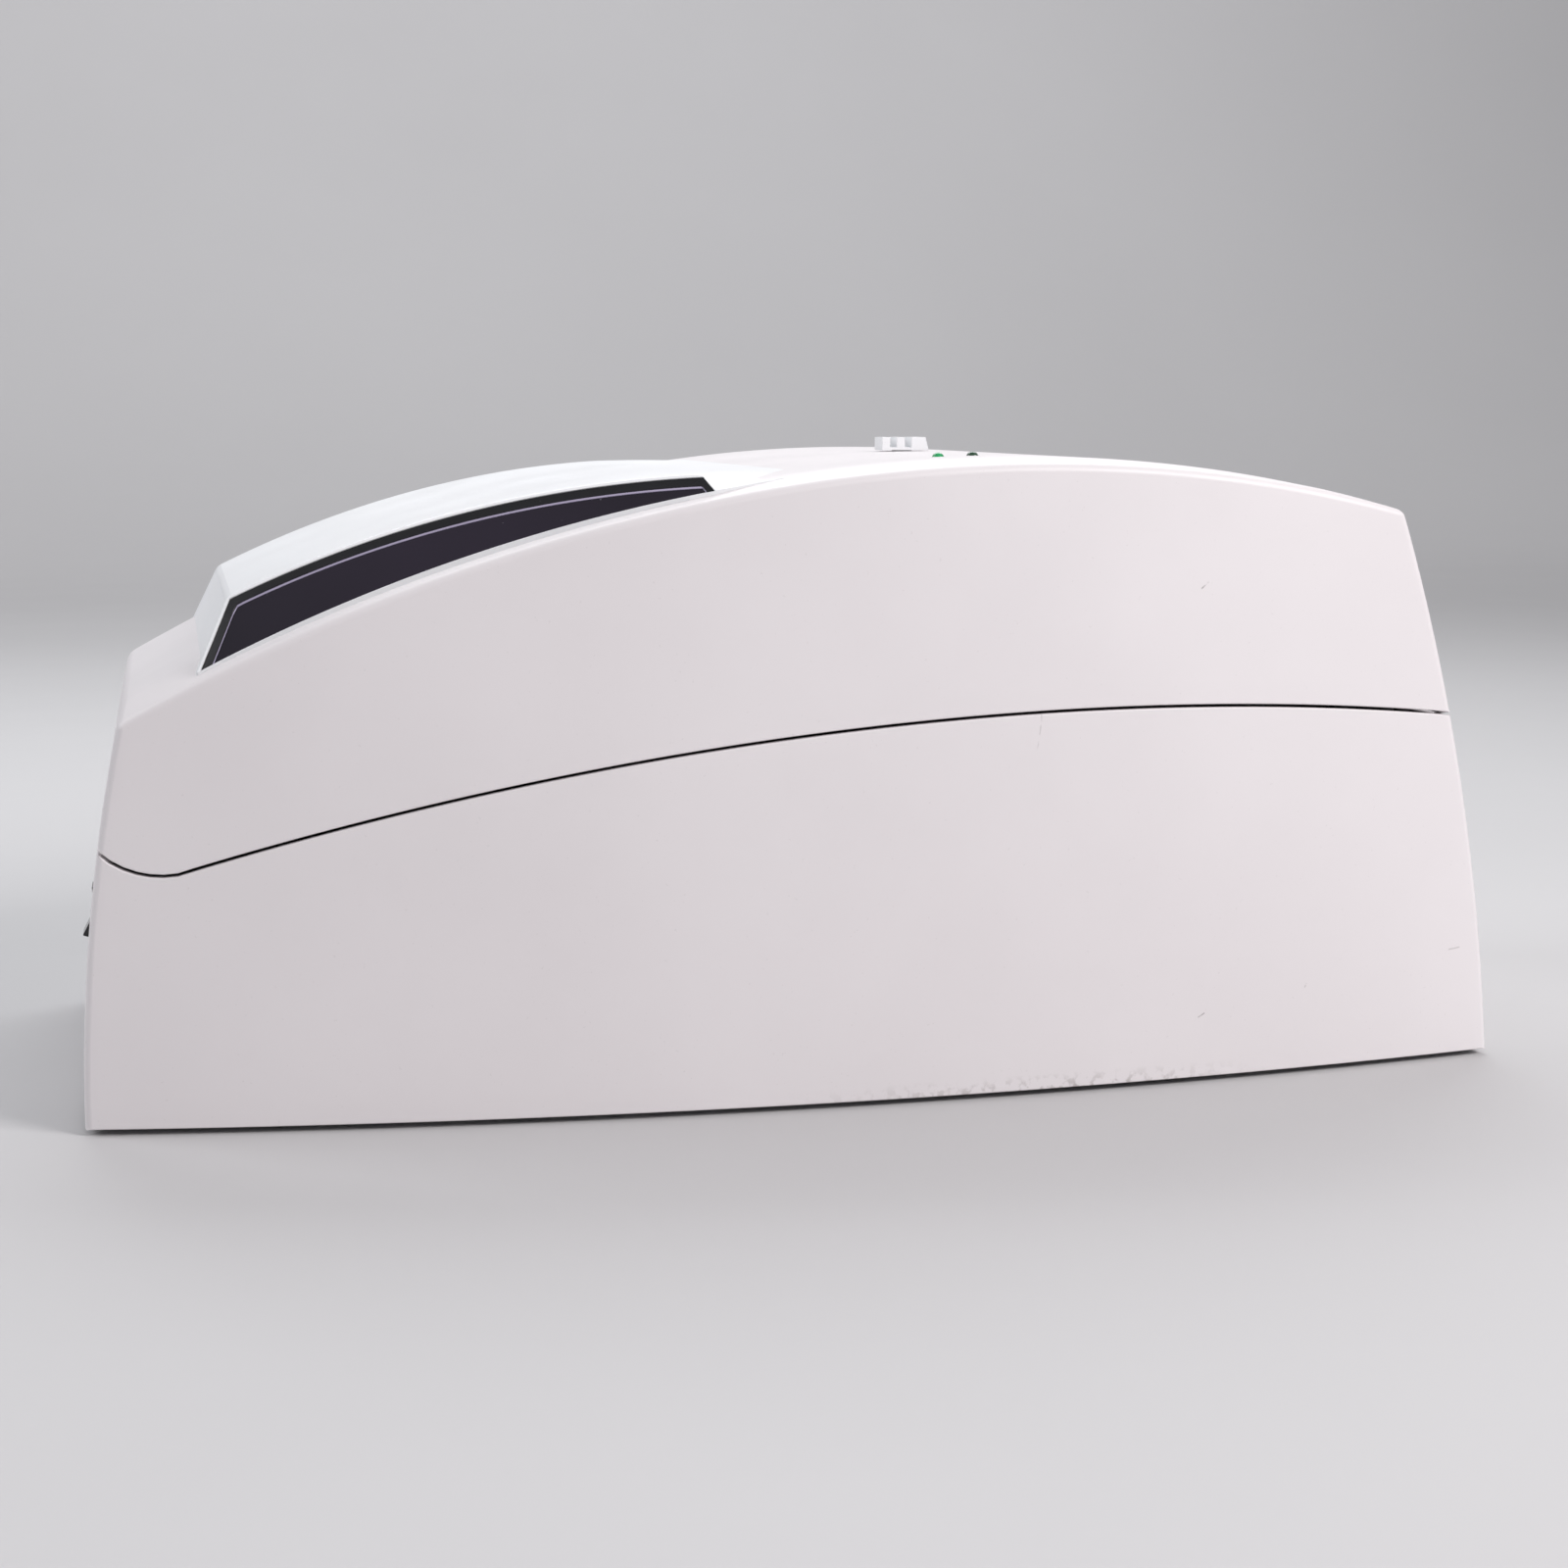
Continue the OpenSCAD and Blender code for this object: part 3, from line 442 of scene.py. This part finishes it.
def hood_share(i, x_rear, x_window, x_end):
    """X of a hood station: a white rim, the window's length, and the run-out in front."""
    if i <= WINDOW_FIRST:
        return x_rear + WHITE_RIM * i / WINDOW_FIRST
    if i <= WINDOW_LAST:
        return lerp(x_rear + WHITE_RIM, x_window, (i - WINDOW_FIRST) / (WINDOW_LAST - WINDOW_FIRST))
    return lerp(x_window, x_end, (i - WINDOW_LAST) / (HOOD_STATIONS - WINDOW_LAST))


def hood_side_point(i, k):
    """A lattice point on the near face: 0 is under the skin, 1 the sill, then the window to the top."""
    x, z = -100.0, 160.0
    for _ in range(30):
        x = hood_share(i, hood_rear_x(z), window_front_x(z), HOOD_END)
        sill, top = over(SILL_ARC, x), hood_top(x)
        sill = min(sill, top - WHITE_RIM - 0.5)
        if k == 0:
            z = sill
        elif k == HOOD_ROWS:
            z = top
        else:
            z = lerp(sill, top - WHITE_RIM, (k - 1) / (HOOD_ROWS - 2))
    past = max(i - WINDOW_LAST, 0) / (HOOD_STATIONS - WINDOW_LAST)
    return face_point(x, z) + Vector((0, RUN_OUT * past * k / HOOD_ROWS, -7 if k == 0 else 0))


def make_hood():
    counts = (HOOD_STATIONS, HOOD_ACROSS, HOOD_ROWS)

    def place(i, j, k):
        near = hood_side_point(i, k)
        far = Vector((near.x, -near.y, near.z))
        return near.lerp(far, j / HOOD_ACROSS)

    def skip(name, a, b):
        return name in ("near", "far") and WINDOW_FIRST <= a < WINDOW_LAST and 1 <= b < HOOD_ROWS - 1

    def weight(a, b):
        rear = a[0] == b[0] == 0
        side = a[1] == b[1] and a[1] in (0, HOOD_ACROSS)
        top = a[2] == b[2] == HOOD_ROWS
        if rear and top:
            return 1.0
        if (rear and side) or (side and top and min(a[0], b[0]) < WINDOW_LAST + 6):
            return 0.35
        return 0.0

    verts, faces, weights = cage(
        counts, place, ("rear", "near", "far", "top"), (-90, 0, 120), weight, skip)
    obj = make_object("hood_shell", verts, faces, weights)
    add_modifier(obj, "SOLIDIFY", thickness=2.5 * MM, offset=-1, use_even_offset=True,
                 use_quality_normals=True)
    add_modifier(obj, "BEVEL", width=1.6 * MM, segments=4, limit_method="WEIGHT",
                 use_clamp_overlap=False)
    return apply_all(obj, 30)


def band(name, outer, inner, front_depth, back_depth, bevel, mirror):
    """A strip between two open paths of (x, z) points on the sloping face, with its thickness."""
    verts, n = [], len(outer)
    for o, i in zip(outer, inner):
        verts += [face_point(*o, front_depth), face_point(*i, front_depth),
                  face_point(*i, back_depth), face_point(*o, back_depth)]
    if mirror:
        verts = [Vector((v.x, -v.y, v.z)) for v in verts]
    faces = [[4 * a + b, 4 * a + (b + 1) % 4, 4 * a + 4 + (b + 1) % 4, 4 * a + 4 + b]
             for a in range(n - 1) for b in range(4)]
    faces += [[3, 2, 1, 0], [4 * n - 4, 4 * n - 3, 4 * n - 2, 4 * n - 1]]
    obj = face_out(make_object(name, verts, faces))
    add_modifier(obj, "BEVEL", width=bevel * MM, segments=3, limit_method="ANGLE",
                 angle_limit=math.radians(50))
    return apply_all(obj, 40)


def border(rear, front, top, corner=0.0, steps=90, corner_steps=8):
    """The path up a window's rear edge, along its top and down its front, with a round rear corner."""
    rise = [window_point(0, q / corner_steps, rear, front, top) for q in range(corner_steps)]
    run = [window_point(p / steps, 1, rear, front, top) for p in range(steps + 1)]
    fall = [window_point(1, 1 - q / corner_steps, rear, front, top) for q in range(1, corner_steps + 1)]
    path = rise + run + fall
    if corner:
        tip = Vector(run[0])
        target = tip + ((Vector(run[12]) + Vector(rise[-3])) / 2 - tip).normalized() * corner * 0.35
        path = [tuple(Vector(p).lerp(target, 0.75 * max(0, 1 - (Vector(p) - tip).length / corner)))
                for p in path]
    return path


def make_window(side, mirror):
    rim = border(WHITE_RIM + 0.05, 0.05, WHITE_RIM + 0.05)
    edge = border(WHITE_RIM + BEZEL_REAR, BEZEL_FRONT, WHITE_RIM + BEZEL_TOP, 1.5)
    lip = border(WHITE_RIM + BEZEL_REAR + 0.15, BEZEL_FRONT + 0.3, WHITE_RIM + BEZEL_TOP + 0.5, 1.5)
    bezel = band("window_bezel_" + side, rim, edge, 0.25, 2.6, 0.12, mirror)
    # a bevel strip round the pane's edge, coloured bright lavender: a painted highlight for the light the glass
    # edge catches
    edge_highlight = band("pane_bevel_" + side, edge, lip, 0.6, 1.4, 0.1, mirror)
    nx, nz, verts = 100, 6, []
    for depth in (PANE_DEPTH, PANE_DEPTH + PANE_T):
        for a in range(nx + 1):
            for b in range(nz + 1):
                x, z = window_point(a / nx, b / nz, WHITE_RIM + 2, 1.2, WHITE_RIM + 2)
                verts.append(face_point(x, z - (0.4 if b == 0 else 0), depth))
    if mirror:
        verts = [Vector((v.x, -v.y, v.z)) for v in verts]
    front = len(verts) // 2

    def at(a, b):
        return a * (nz + 1) + b

    faces = [[at(a, b), at(a + 1, b), at(a + 1, b + 1), at(a, b + 1)] for a in range(nx) for b in range(nz)]
    faces += [[i + front for i in reversed(f)] for f in faces]
    rim_nodes = ([at(a, 0) for a in range(nx)] + [at(nx, b) for b in range(nz)]
                 + [at(a, nz) for a in range(nx, 0, -1)] + [at(0, b) for b in range(nz, 0, -1)])
    faces += [[a, a + front, b + front, b] for a, b in zip(rim_nodes, rim_nodes[1:] + rim_nodes[:1])]
    pane = apply_all(face_out(make_object("window_pane_" + side, verts, faces)), 40)
    return bezel, edge_highlight, pane


# ---------- small parts outside ----------

def extrude_profile(name, points, width, y=0.0, round_by=0.3, segments=3, angle=25):
    """A side view (x, z) drawn out along Y, with rounded edges."""
    n = len(points)
    verts = [(x, y + s * width / 2, z) for s in (-1, 1) for x, z in points]
    faces = [list(range(n)), list(reversed(range(n, 2 * n)))]
    faces += [[(i + 1) % n, i, n + i, n + (i + 1) % n] for i in range(n)]
    obj = face_out(make_object(name, verts, faces))
    add_modifier(obj, "BEVEL", width=round_by * MM, segments=segments, limit_method="ANGLE",
                 angle_limit=math.radians(angle))
    return apply_all(obj, 30)


def make_grip():
    """Three ribs and a solid front end on a base, with a stem through the cover."""
    low, high = (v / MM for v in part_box("lock_grip"))
    pitch, rib, end = 5.15, 2.8, 3.55
    base = crown_z(CROWN_PEAK[0]) + 0.3
    floor = high.z - 3.4
    points = [(low.x, base), (low.x, high.z)]
    for i in range(3):
        right = low.x + rib + i * pitch
        left = low.x + (i + 1) * pitch if i < 2 else high.x - end
        points += [(right, high.z), (right, floor), (left, floor), (left, high.z)]
    points += [(high.x - 1.2, high.z), (high.x, base)]
    grip = extrude_profile("thumb_grip", points, high.y - low.y, round_by=0.45)
    middle = (low.x + high.x) / 2
    stem = [(middle - 3, low.z), (middle - 3, base + 0.5), (middle + 3, base + 0.5), (middle + 3, low.z)]
    return grip, extrude_profile("grip_stem", stem, 4.0, round_by=0.2)


def make_rocker():
    """A paddle with a shallow valley across its face, tilted about its pin."""
    px, py, pz = (v / MM for v in JOINTS["rocker_toggle"]["pos_m"])
    tilt = math.radians(JOINTS["rocker_toggle"]["range_deg"][1] / 2)
    outline = [(-3.2, -7.7), (-5.6, -7.5), (-4.2, -2.6), (-3.6, 0), (-4.2, 2.6), (-5.6, 7.5),
               (-3.2, 7.7), (3, 4.5), (3, -4.5)]
    points = [(px + x * math.cos(tilt) + z * math.sin(tilt), pz - x * math.sin(tilt) + z * math.cos(tilt))
              for x, z in outline]
    low, high = (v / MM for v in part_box("power_rocker"))
    return extrude_profile("rocker_paddle", points, high.y - low.y, y=py, round_by=0.4, angle=20)


def turned(name, x, y, side, n):
    """A solid turned about an upright axis from (radius, z) points that start and end on the axis."""
    verts = [(x, y, side[0][1])]
    for r, z in side[1:-1]:
        verts += [(x + r * math.cos(math.tau * i / n), y + r * math.sin(math.tau * i / n), z)
                  for i in range(n)]
    verts.append((x, y, side[-1][1]))
    tip = len(verts) - 1
    faces = [(0, 1 + (i + 1) % n, 1 + i) for i in range(n)]
    for k in range(len(side) - 3):
        a, b = 1 + k * n, 1 + (k + 1) * n
        faces += [(a + i, a + (i + 1) % n, b + (i + 1) % n, b + i) for i in range(n)]
    faces += [(tip - n + i, tip - n + (i + 1) % n, tip) for i in range(n)]
    return make_object(name, verts, faces)


def make_lamp(node, name):
    """A lens with a domed top, turned from its side view."""
    low, high = (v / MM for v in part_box(node))
    cx, cy = (low.x + high.x) / 2, (low.y + high.y) / 2
    r, rings, n = (high.x - low.x) / 2, 8, 40
    shoulder = high.z - r
    side = [(0.0, low.z), (r * 0.9, low.z), (r, low.z + 0.3), (r, shoulder)]
    side += [(r * math.cos(math.pi / 2 * k / rings), shoulder + r * math.sin(math.pi / 2 * k / rings))
             for k in range(1, rings + 1)]
    return apply_all(turned(name, cx, cy, side, n), 40)


def make_foot(name, x, y, r, high):
    """A rubber foot with a chamfered rim and a shallow hollow underneath."""
    side = [(0.0, 0.7), (r * 0.55, 0.6), (r * 0.7, 0.0), (r - 0.5, 0.0), (r, 0.6), (r, high), (0.0, high)]
    return apply_all(turned(name, x, y, side, 56), 30)


# ---------- materials ----------

class Paint:
    """A Principled material whose colour, roughness and bump come from procedural nodes."""

    def __init__(self, name, **uniform):
        self.mat = bpy.data.materials.new(name)
        self.mat.use_nodes = True
        self.nodes, self.links = self.mat.node_tree.nodes, self.mat.node_tree.links
        self.shader = self.nodes["Principled BSDF"]
        for key, value in uniform.items():
            self.shader.inputs[key.replace("_", " ")].default_value = value
        self.place = self.nodes.new("ShaderNodeTexCoord").outputs["Object"]

    def node(self, kind, **inputs):
        node = self.nodes.new("ShaderNode" + kind)
        for key, value in inputs.items():
            if key.startswith("set_"):
                setattr(node, key[4:], value)
        for key, value in inputs.items():
            if key.startswith("set_"):
                continue
            socket = node.inputs[int(key[1:])] if key[0] == "_" else node.inputs[key.replace("_", " ")]
            if isinstance(value, bpy.types.NodeSocket):
                self.links.new(value, socket)
            else:
                socket.default_value = value
        return node

    def scaled(self, sx, sy, sz):
        return self.node("Mapping", Vector=self.place, Scale=(sx, sy, sz)).outputs["Vector"]

    def noise(self, scale, detail=3.0, vector=None, rough=0.5):
        return self.node("TexNoise", Vector=vector or self.place, Scale=scale, Detail=detail,
                         Roughness=rough).outputs["Fac"]

    def remap(self, value, a, b, lo=0.0, hi=1.0):
        return self.node("MapRange", Value=value, From_Min=a, From_Max=b, To_Min=lo,
                         To_Max=hi).outputs["Result"]

    def mix(self, factor, a, b):
        node = self.node("Mix", set_data_type="RGBA")
        for socket, value in ((node.inputs[0], factor), (node.inputs[6], a), (node.inputs[7], b)):
            if isinstance(value, bpy.types.NodeSocket):
                self.links.new(value, socket)
            else:
                socket.default_value = value
        return node.outputs[2]

    def calc(self, operation, a, b=0.0, c=0.0):
        return self.node("Math", set_operation=operation, _0=a, _1=b, _2=c).outputs[0]

    def colour(self, socket):
        self.links.new(socket, self.shader.inputs["Base Color"])

    def rough(self, socket):
        self.links.new(socket, self.shader.inputs["Roughness"])

    def bump(self, *layers):
        """Each layer is (height, strength, distance in millimetres)."""
        normal = None
        for height, strength, distance in layers:
            node = self.node("Bump", Height=height, Strength=strength, Distance=distance * MM)
            if normal:
                self.links.new(normal, node.inputs["Normal"])
            normal = node.outputs["Normal"]
        self.links.new(normal, self.shader.inputs["Normal"])


def rgb(r, g, b):
    return (r, g, b, 1.0)


def moulded(name, base, dark, roughness=0.42, grain=5200, brushed=False, marks=()):
    """Moulded plastic with a fine grain, faint clouding, handling smudges and small scuffs."""
    p = Paint(name, IOR=1.46)
    cloud = p.remap(p.noise(9, 4), 0.35, 0.65)
    speck = p.remap(p.noise(900, 2), 0.71, 0.76)
    tint = p.mix(cloud, base, dark)
    tint = p.mix(p.calc("MULTIPLY", speck, 0.10), tint, rgb(0.25, 0.23, 0.22))
    split = p.node("SeparateXYZ", Vector=p.place)
    x, z = split.outputs["X"], split.outputs["Z"]
    for mx, mz, length, angle, width, depth in marks:
        ca, sa = math.cos(math.radians(angle)), math.sin(math.radians(angle))
        dx = p.calc("SUBTRACT", x, mx * MM)
        dz = p.calc("SUBTRACT", z, mz * MM)
        along = p.calc("ADD", p.calc("MULTIPLY", dx, ca), p.calc("MULTIPLY", dz, sa))
        across = p.calc("SUBTRACT", p.calc("MULTIPLY", dz, ca), p.calc("MULTIPLY", dx, sa))
        wobble = p.calc("MULTIPLY", p.calc("SUBTRACT", p.noise(160, 2), 0.5), 3 * width * MM)
        near = p.calc("ABSOLUTE", p.calc("ADD", across, wobble))
        line = p.remap(near, width * MM, 0.2 * width * MM)
        reach = p.remap(p.calc("ABSOLUTE", along), length * MM / 2, length * MM / 2.6)
        broken = p.remap(p.noise(420, 3), 0.42, 0.56)
        mask = p.calc("MULTIPLY", p.calc("MULTIPLY", line, reach), p.calc("MULTIPLY", broken, depth))
        tint = p.mix(mask, tint, rgb(0.16, 0.14, 0.14))
    if marks:
        low = p.remap(z, (Z0 + 5.0) * MM, Z0 * MM)
        spread = p.remap(x, -0.02, 0.06)
        spread = p.calc("MULTIPLY", spread, p.remap(x, 0.14, 0.09))
        dirt = p.calc("MULTIPLY", p.calc("MULTIPLY", low, spread), p.remap(p.noise(380, 4), 0.5, 0.62))
        tint = p.mix(p.calc("MULTIPLY", dirt, 0.55), tint, rgb(0.22, 0.19, 0.17))
    p.colour(tint)
    smudge = p.noise(26, 5)
    p.rough(p.remap(smudge, 0.3, 0.7, roughness - 0.05, roughness + 0.07))
    layers = [(p.noise(grain, 2), 0.18, 0.02)]
    if brushed:
        lines = p.noise(60, 4, p.scaled(6, 90, 90))
        layers.append((lines, 0.22, 0.03))
    p.bump(*layers)
    return p.mat


def gloss_black(name, base=(0.006, 0.006, 0.008), roughness=0.22):
    p = Paint(name, IOR=1.5, Coat_Weight=0.15, Coat_Roughness=0.08)
    dust = p.remap(p.noise(1400, 2), 0.70, 0.78)
    p.colour(p.mix(p.calc("MULTIPLY", dust, 0.25), rgb(*base), rgb(0.2, 0.19, 0.2)))
    p.rough(p.remap(p.noise(40, 4), 0.3, 0.7, roughness - 0.05, roughness + 0.1))
    p.bump((p.noise(2600, 2), 0.08, 0.02))
    return p.mat


def smoked_glass(name, base=(0.008, 0.0055, 0.012), glow=(0.017, 0.011, 0.024)):
    p = Paint(name, IOR=1.5, Coat_Weight=0.2, Coat_Roughness=0.03)
    deep = p.remap(p.noise(14, 2), 0.3, 0.7)
    dust = p.remap(p.noise(520, 3), 0.735, 0.76)
    tint = p.mix(deep, rgb(*base), rgb(*glow))
    p.colour(p.mix(p.calc("MULTIPLY", dust, 0.5), tint, rgb(0.28, 0.27, 0.31)))
    p.rough(p.remap(p.noise(30, 4), 0.35, 0.7, 0.05, 0.13))
    p.bump((p.noise(18, 2), 0.05, 0.1))
    return p.mat


def clear_glass(name):
    p = Paint(name, IOR=1.52, Transmission_Weight=1.0)
    p.colour(p.mix(p.remap(p.noise(6, 2), 0.3, 0.7), rgb(0.86, 0.95, 0.93), rgb(0.82, 0.93, 0.9)))
    p.rough(p.remap(p.noise(24, 4), 0.35, 0.7, 0.01, 0.05))
    return p.mat


def metal(name, base, roughness=0.3, streak=(40, 40, 600), worn=(0.8, 0.8, 0.8)):
    p = Paint(name, Metallic=1.0)
    line = p.noise(12, 3, p.scaled(*streak))
    p.colour(p.mix(p.remap(p.noise(60, 4), 0.4, 0.75, 0, 0.4), rgb(*base),
                   rgb(*[b * w for b, w in zip(base, worn)])))
    p.rough(p.remap(line, 0.3, 0.7, roughness - 0.08, roughness + 0.1))
    p.bump((line, 0.12, 0.03))
    return p.mat


def rubber(name):
    p = Paint(name)
    p.colour(p.mix(p.remap(p.noise(40, 5), 0.35, 0.65), rgb(0.018, 0.018, 0.018), rgb(0.036, 0.035, 0.034)))
    p.rough(p.remap(p.noise(90, 3), 0.3, 0.7, 0.7, 0.9))
    p.bump((p.noise(900, 3), 0.35, 0.06))
    return p.mat


def circuit(name):
    """Solder mask with faint traces and gold pads."""
    p = Paint(name, IOR=1.5, Coat_Weight=0.3, Coat_Roughness=0.15)
    cells = p.node("TexVoronoi", Vector=p.scaled(1, 1, 0.02), Scale=260.0, set_distance="MANHATTAN",
                   set_feature="F1").outputs["Distance"]
    traces = p.remap(cells, 0.46, 0.5)
    pads = p.remap(cells, 0.12, 0.09)
    tint = p.mix(p.calc("MULTIPLY", traces, 0.6), rgb(0.015, 0.11, 0.045), rgb(0.03, 0.19, 0.08))
    p.colour(p.mix(p.calc("MULTIPLY", pads, 0.7), tint, rgb(0.6, 0.42, 0.14)))
    p.rough(p.remap(p.noise(80, 3), 0.3, 0.7, 0.28, 0.42))
    p.bump((traces, 0.3, 0.05))
    return p.mat


def lens(name, base, glow, strength):
    p = Paint(name, IOR=1.5, Transmission_Weight=0.35, Coat_Weight=0.5, Coat_Roughness=0.05,
              Emission_Strength=strength)
    ripple = p.remap(p.noise(500, 2), 0.3, 0.7)
    p.colour(p.mix(ripple, rgb(*base), rgb(*glow)))
    p.shader.inputs["Emission Color"].default_value = rgb(*glow)
    p.rough(p.remap(p.noise(200, 2), 0.3, 0.7, 0.12, 0.22))
    return p.mat


def opal(name):
    p = Paint(name, Transmission_Weight=0.25)
    p.colour(p.mix(p.remap(p.noise(30, 3), 0.3, 0.7), rgb(0.9, 0.89, 0.84), rgb(0.84, 0.83, 0.79)))
    p.rough(p.remap(p.noise(70, 3), 0.3, 0.7, 0.45, 0.6))
    p.bump((p.noise(700, 2), 0.2, 0.05))
    return p.mat


def silvered(name):
    p = Paint(name, Metallic=1.0)
    p.colour(p.mix(p.remap(p.noise(50, 3), 0.4, 0.7), rgb(0.9, 0.91, 0.92), rgb(0.84, 0.86, 0.88)))
    p.rough(p.remap(p.noise(120, 3), 0.4, 0.75, 0.02, 0.08))
    return p.mat


# Scuffs on the near side: x, z, length, angle, width and darkness, in millimetres and degrees
SCUFFS = [(116, 158, 3.5, 40, 0.30, 0.7), (62, 116, 15, 83, 0.30, 0.28), (118, 22, 3.0, 30, 0.30, 0.6),
          (155, 29, 1.8, 60, 0.35, 0.6), (210, 37, 6, 5, 0.35, 0.35)]

MATERIALS = {
    "shell": moulded("shell_plastic", rgb(0.775, 0.742, 0.752), rgb(0.745, 0.712, 0.722), marks=SCUFFS),
    "top": moulded("top_plastic", rgb(0.83, 0.84, 0.85), rgb(0.80, 0.81, 0.825), 0.38, brushed=True),
    "black": gloss_black("black_plastic"),
    "smoked": smoked_glass("smoked_glass"),
    "clear": clear_glass("platen_clear_glass"),
    "rubber": rubber("black_rubber"),
    "steel": metal("zinc_steel", (0.55, 0.56, 0.58)),
    "tray": metal("blasted_aluminium", (0.40, 0.42, 0.44), 0.45, (300, 300, 300)),
    "brass": metal("turned_brass", (0.66, 0.47, 0.18), 0.28),
    "mirror": silvered("front_silvered"),
    "board": circuit("solder_mask"),
    "bed": moulded("bed_plastic", rgb(0.42, 0.41, 0.42), rgb(0.39, 0.38, 0.39), 0.5, 3800),
    "inner": moulded("inner_plastic", rgb(0.62, 0.61, 0.62), rgb(0.58, 0.57, 0.58), 0.5, 3800),
    "lamp_on": lens("lamp_green", (0.01, 0.20, 0.07), (0.02, 0.42, 0.14), 0.25),
    "lamp_off": lens("lamp_dark_green", (0.02, 0.07, 0.035), (0.04, 0.12, 0.06), 0.0),
    "opal": opal("opal_diffuser"),
}
# Bright lavender for the pane's edge strip: a painted highlight, not the glass's own colour
PANE_EDGE_HIGHLIGHT = gloss_black("pane_bevel_glass", (0.44, 0.40, 0.54), 0.12)


def finish_piece(obj, slot, body, *replaced, material=None):
    obj.data.materials.clear()
    obj.data.materials.append(material or MATERIALS[slot])
    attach(obj, body)
    if replaced:
        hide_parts(*replaced)


def dress_cad_nodes():
    slots = {s["node"]: s["material_slot"] for s in frame["record"]["subparts"]}
    for name, obj in frame["nodes"].items():
        obj.data.materials.clear()
        obj.data.materials.append(MATERIALS[slots[name]])


# ---------- camera, floor and light ----------

def make_camera():
    """The near long side, from a little above and to the rear of the middle."""
    camera = bpy.data.objects.new("camera", bpy.data.cameras.new("camera"))
    bpy.context.scene.collection.objects.link(camera)
    camera.location = (-0.19485, -0.87775, 0.2117)
    camera.rotation_euler = (math.radians(90 - 8.05), 0, math.radians(-13))
    camera.data.lens = 60.75
    camera.data.sensor_width = 36
    camera.data.clip_start = 0.01
    bpy.context.scene.camera = camera
    bpy.context.scene.view_settings.view_transform = "Standard"


def make_floor():
    """A pale floor that curves up into a backdrop far behind."""
    radius, back, wide = 1.5, 2.5, 8.0
    profile = [(-6.0, 0.0), (-1.0, 0.0), (0.5, 0.0), (back, 0.0)]
    profile += [(back + radius * math.sin(a), radius - radius * math.cos(a))
                for a in [math.pi / 2 * i / 24 for i in range(1, 25)]]
    profile.append((back + radius, 7.0))
    verts = [(x, y, z) for x in (-wide, wide) for y, z in profile]
    n = len(profile)
    mesh = bpy.data.meshes.new("floor")
    mesh.from_pydata(verts, [], [(i, i + 1, n + i + 1, n + i) for i in range(n - 1)])
    mesh.polygons.foreach_set("use_smooth", [True] * len(mesh.polygons))
    floor = bpy.data.objects.new("floor", mesh)
    bpy.context.scene.collection.objects.link(floor)
    p = Paint("floor_paper")
    p.colour(p.mix(p.remap(p.noise(1.2, 2), 0.3, 0.7), rgb(0.56, 0.555, 0.56), rgb(0.54, 0.535, 0.54)))
    p.rough(p.remap(p.noise(8, 3), 0.3, 0.7, 0.75, 0.9))
    mesh.materials.append(p.mat)


def area_light(name, place, target, size, power, colour):
    data = bpy.data.lights.new(name, "AREA")
    data.shape, data.size, data.size_y = "RECTANGLE", size[0], size[1]
    data.energy, data.color = power, colour
    light = bpy.data.objects.new(name, data)
    light.location = place
    light.rotation_euler = (Vector(target) - Vector(place)).to_track_quat("-Z", "Y").to_euler()
    bpy.context.scene.collection.objects.link(light)


def make_lights():
    world = bpy.data.worlds.new("world")
    bpy.context.scene.world = world
    world.use_nodes = True
    world.node_tree.nodes["Background"].inputs["Color"].default_value = rgb(0.93, 0.93, 0.96)
    world.node_tree.nodes["Background"].inputs["Strength"].default_value = 0.32
    area_light("overhead", (0.2, 0.9, 1.3), (0, 0, 0.15), (1.6, 0.9), 15, (0.96, 0.98, 1.0))
    area_light("key", (0.95, -1.05, 1.0), (0.05, -0.05, 0.12), (0.7, 0.6), 21, (1.0, 0.965, 0.97))
    area_light("left", (-1.4, 0.35, 1.0), (-0.1, 0, 0.15), (0.9, 0.9), 10, (0.96, 0.97, 1.0))
    area_light("fill", (-1.3, -1.3, 0.7), (-0.05, 0, 0.1), (1.0, 1.0), 2.5, (0.95, 0.95, 1.0))
    area_light("wash", (0, 2.3, 2.4), (0, 4.0, 0.9), (5.0, 0.8), 50, (0.98, 0.98, 1.0))


# ---------- putting it together ----------

make_camera()
make_floor()
make_lights()
dress_cad_nodes()
finish_piece(make_lower(), "shell", "base", "lower_housing")
finish_piece(make_cover(), "shell", "cover", "upper_housing")
finish_piece(make_hood(), "top", "cover", "hood")
for side, mirror in (("near", False), ("far", True)):
    bezel, edge_highlight, pane = make_window(side, mirror)
    finish_piece(bezel, "black", "cover", "window_bezels")
    # the pane's edge strip gets the bright lavender painted highlight instead of the smoked glass
    finish_piece(edge_highlight, "smoked", "cover", material=PANE_EDGE_HIGHLIGHT)
    finish_piece(pane, "smoked", "cover", "window_panes")
grip, stem = make_grip()
finish_piece(grip, "top", "lock", "lock_grip")
finish_piece(stem, "top", "lock", "lock_grip")
finish_piece(make_rocker(), "black", "rocker", "power_rocker")
finish_piece(make_lamp("power_led", "power_lamp"), "lamp_on", "cover", "power_led")
finish_piece(make_lamp("scan_led", "scan_lamp"), "lamp_off", "cover", "scan_led")
feet_low, feet_high = (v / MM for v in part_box("rubber_feet"))
FOOT_R = 9.0
for tag, x in (("rear", feet_low.x + FOOT_R), ("front", feet_high.x - FOOT_R)):
    for side, y in (("near", feet_low.y + FOOT_R), ("far", feet_high.y - FOOT_R)):
        foot = make_foot(f"foot_{tag}_{side}", x, y, FOOT_R, feet_high.z)
        finish_piece(foot, "rubber", "base", "rubber_feet")
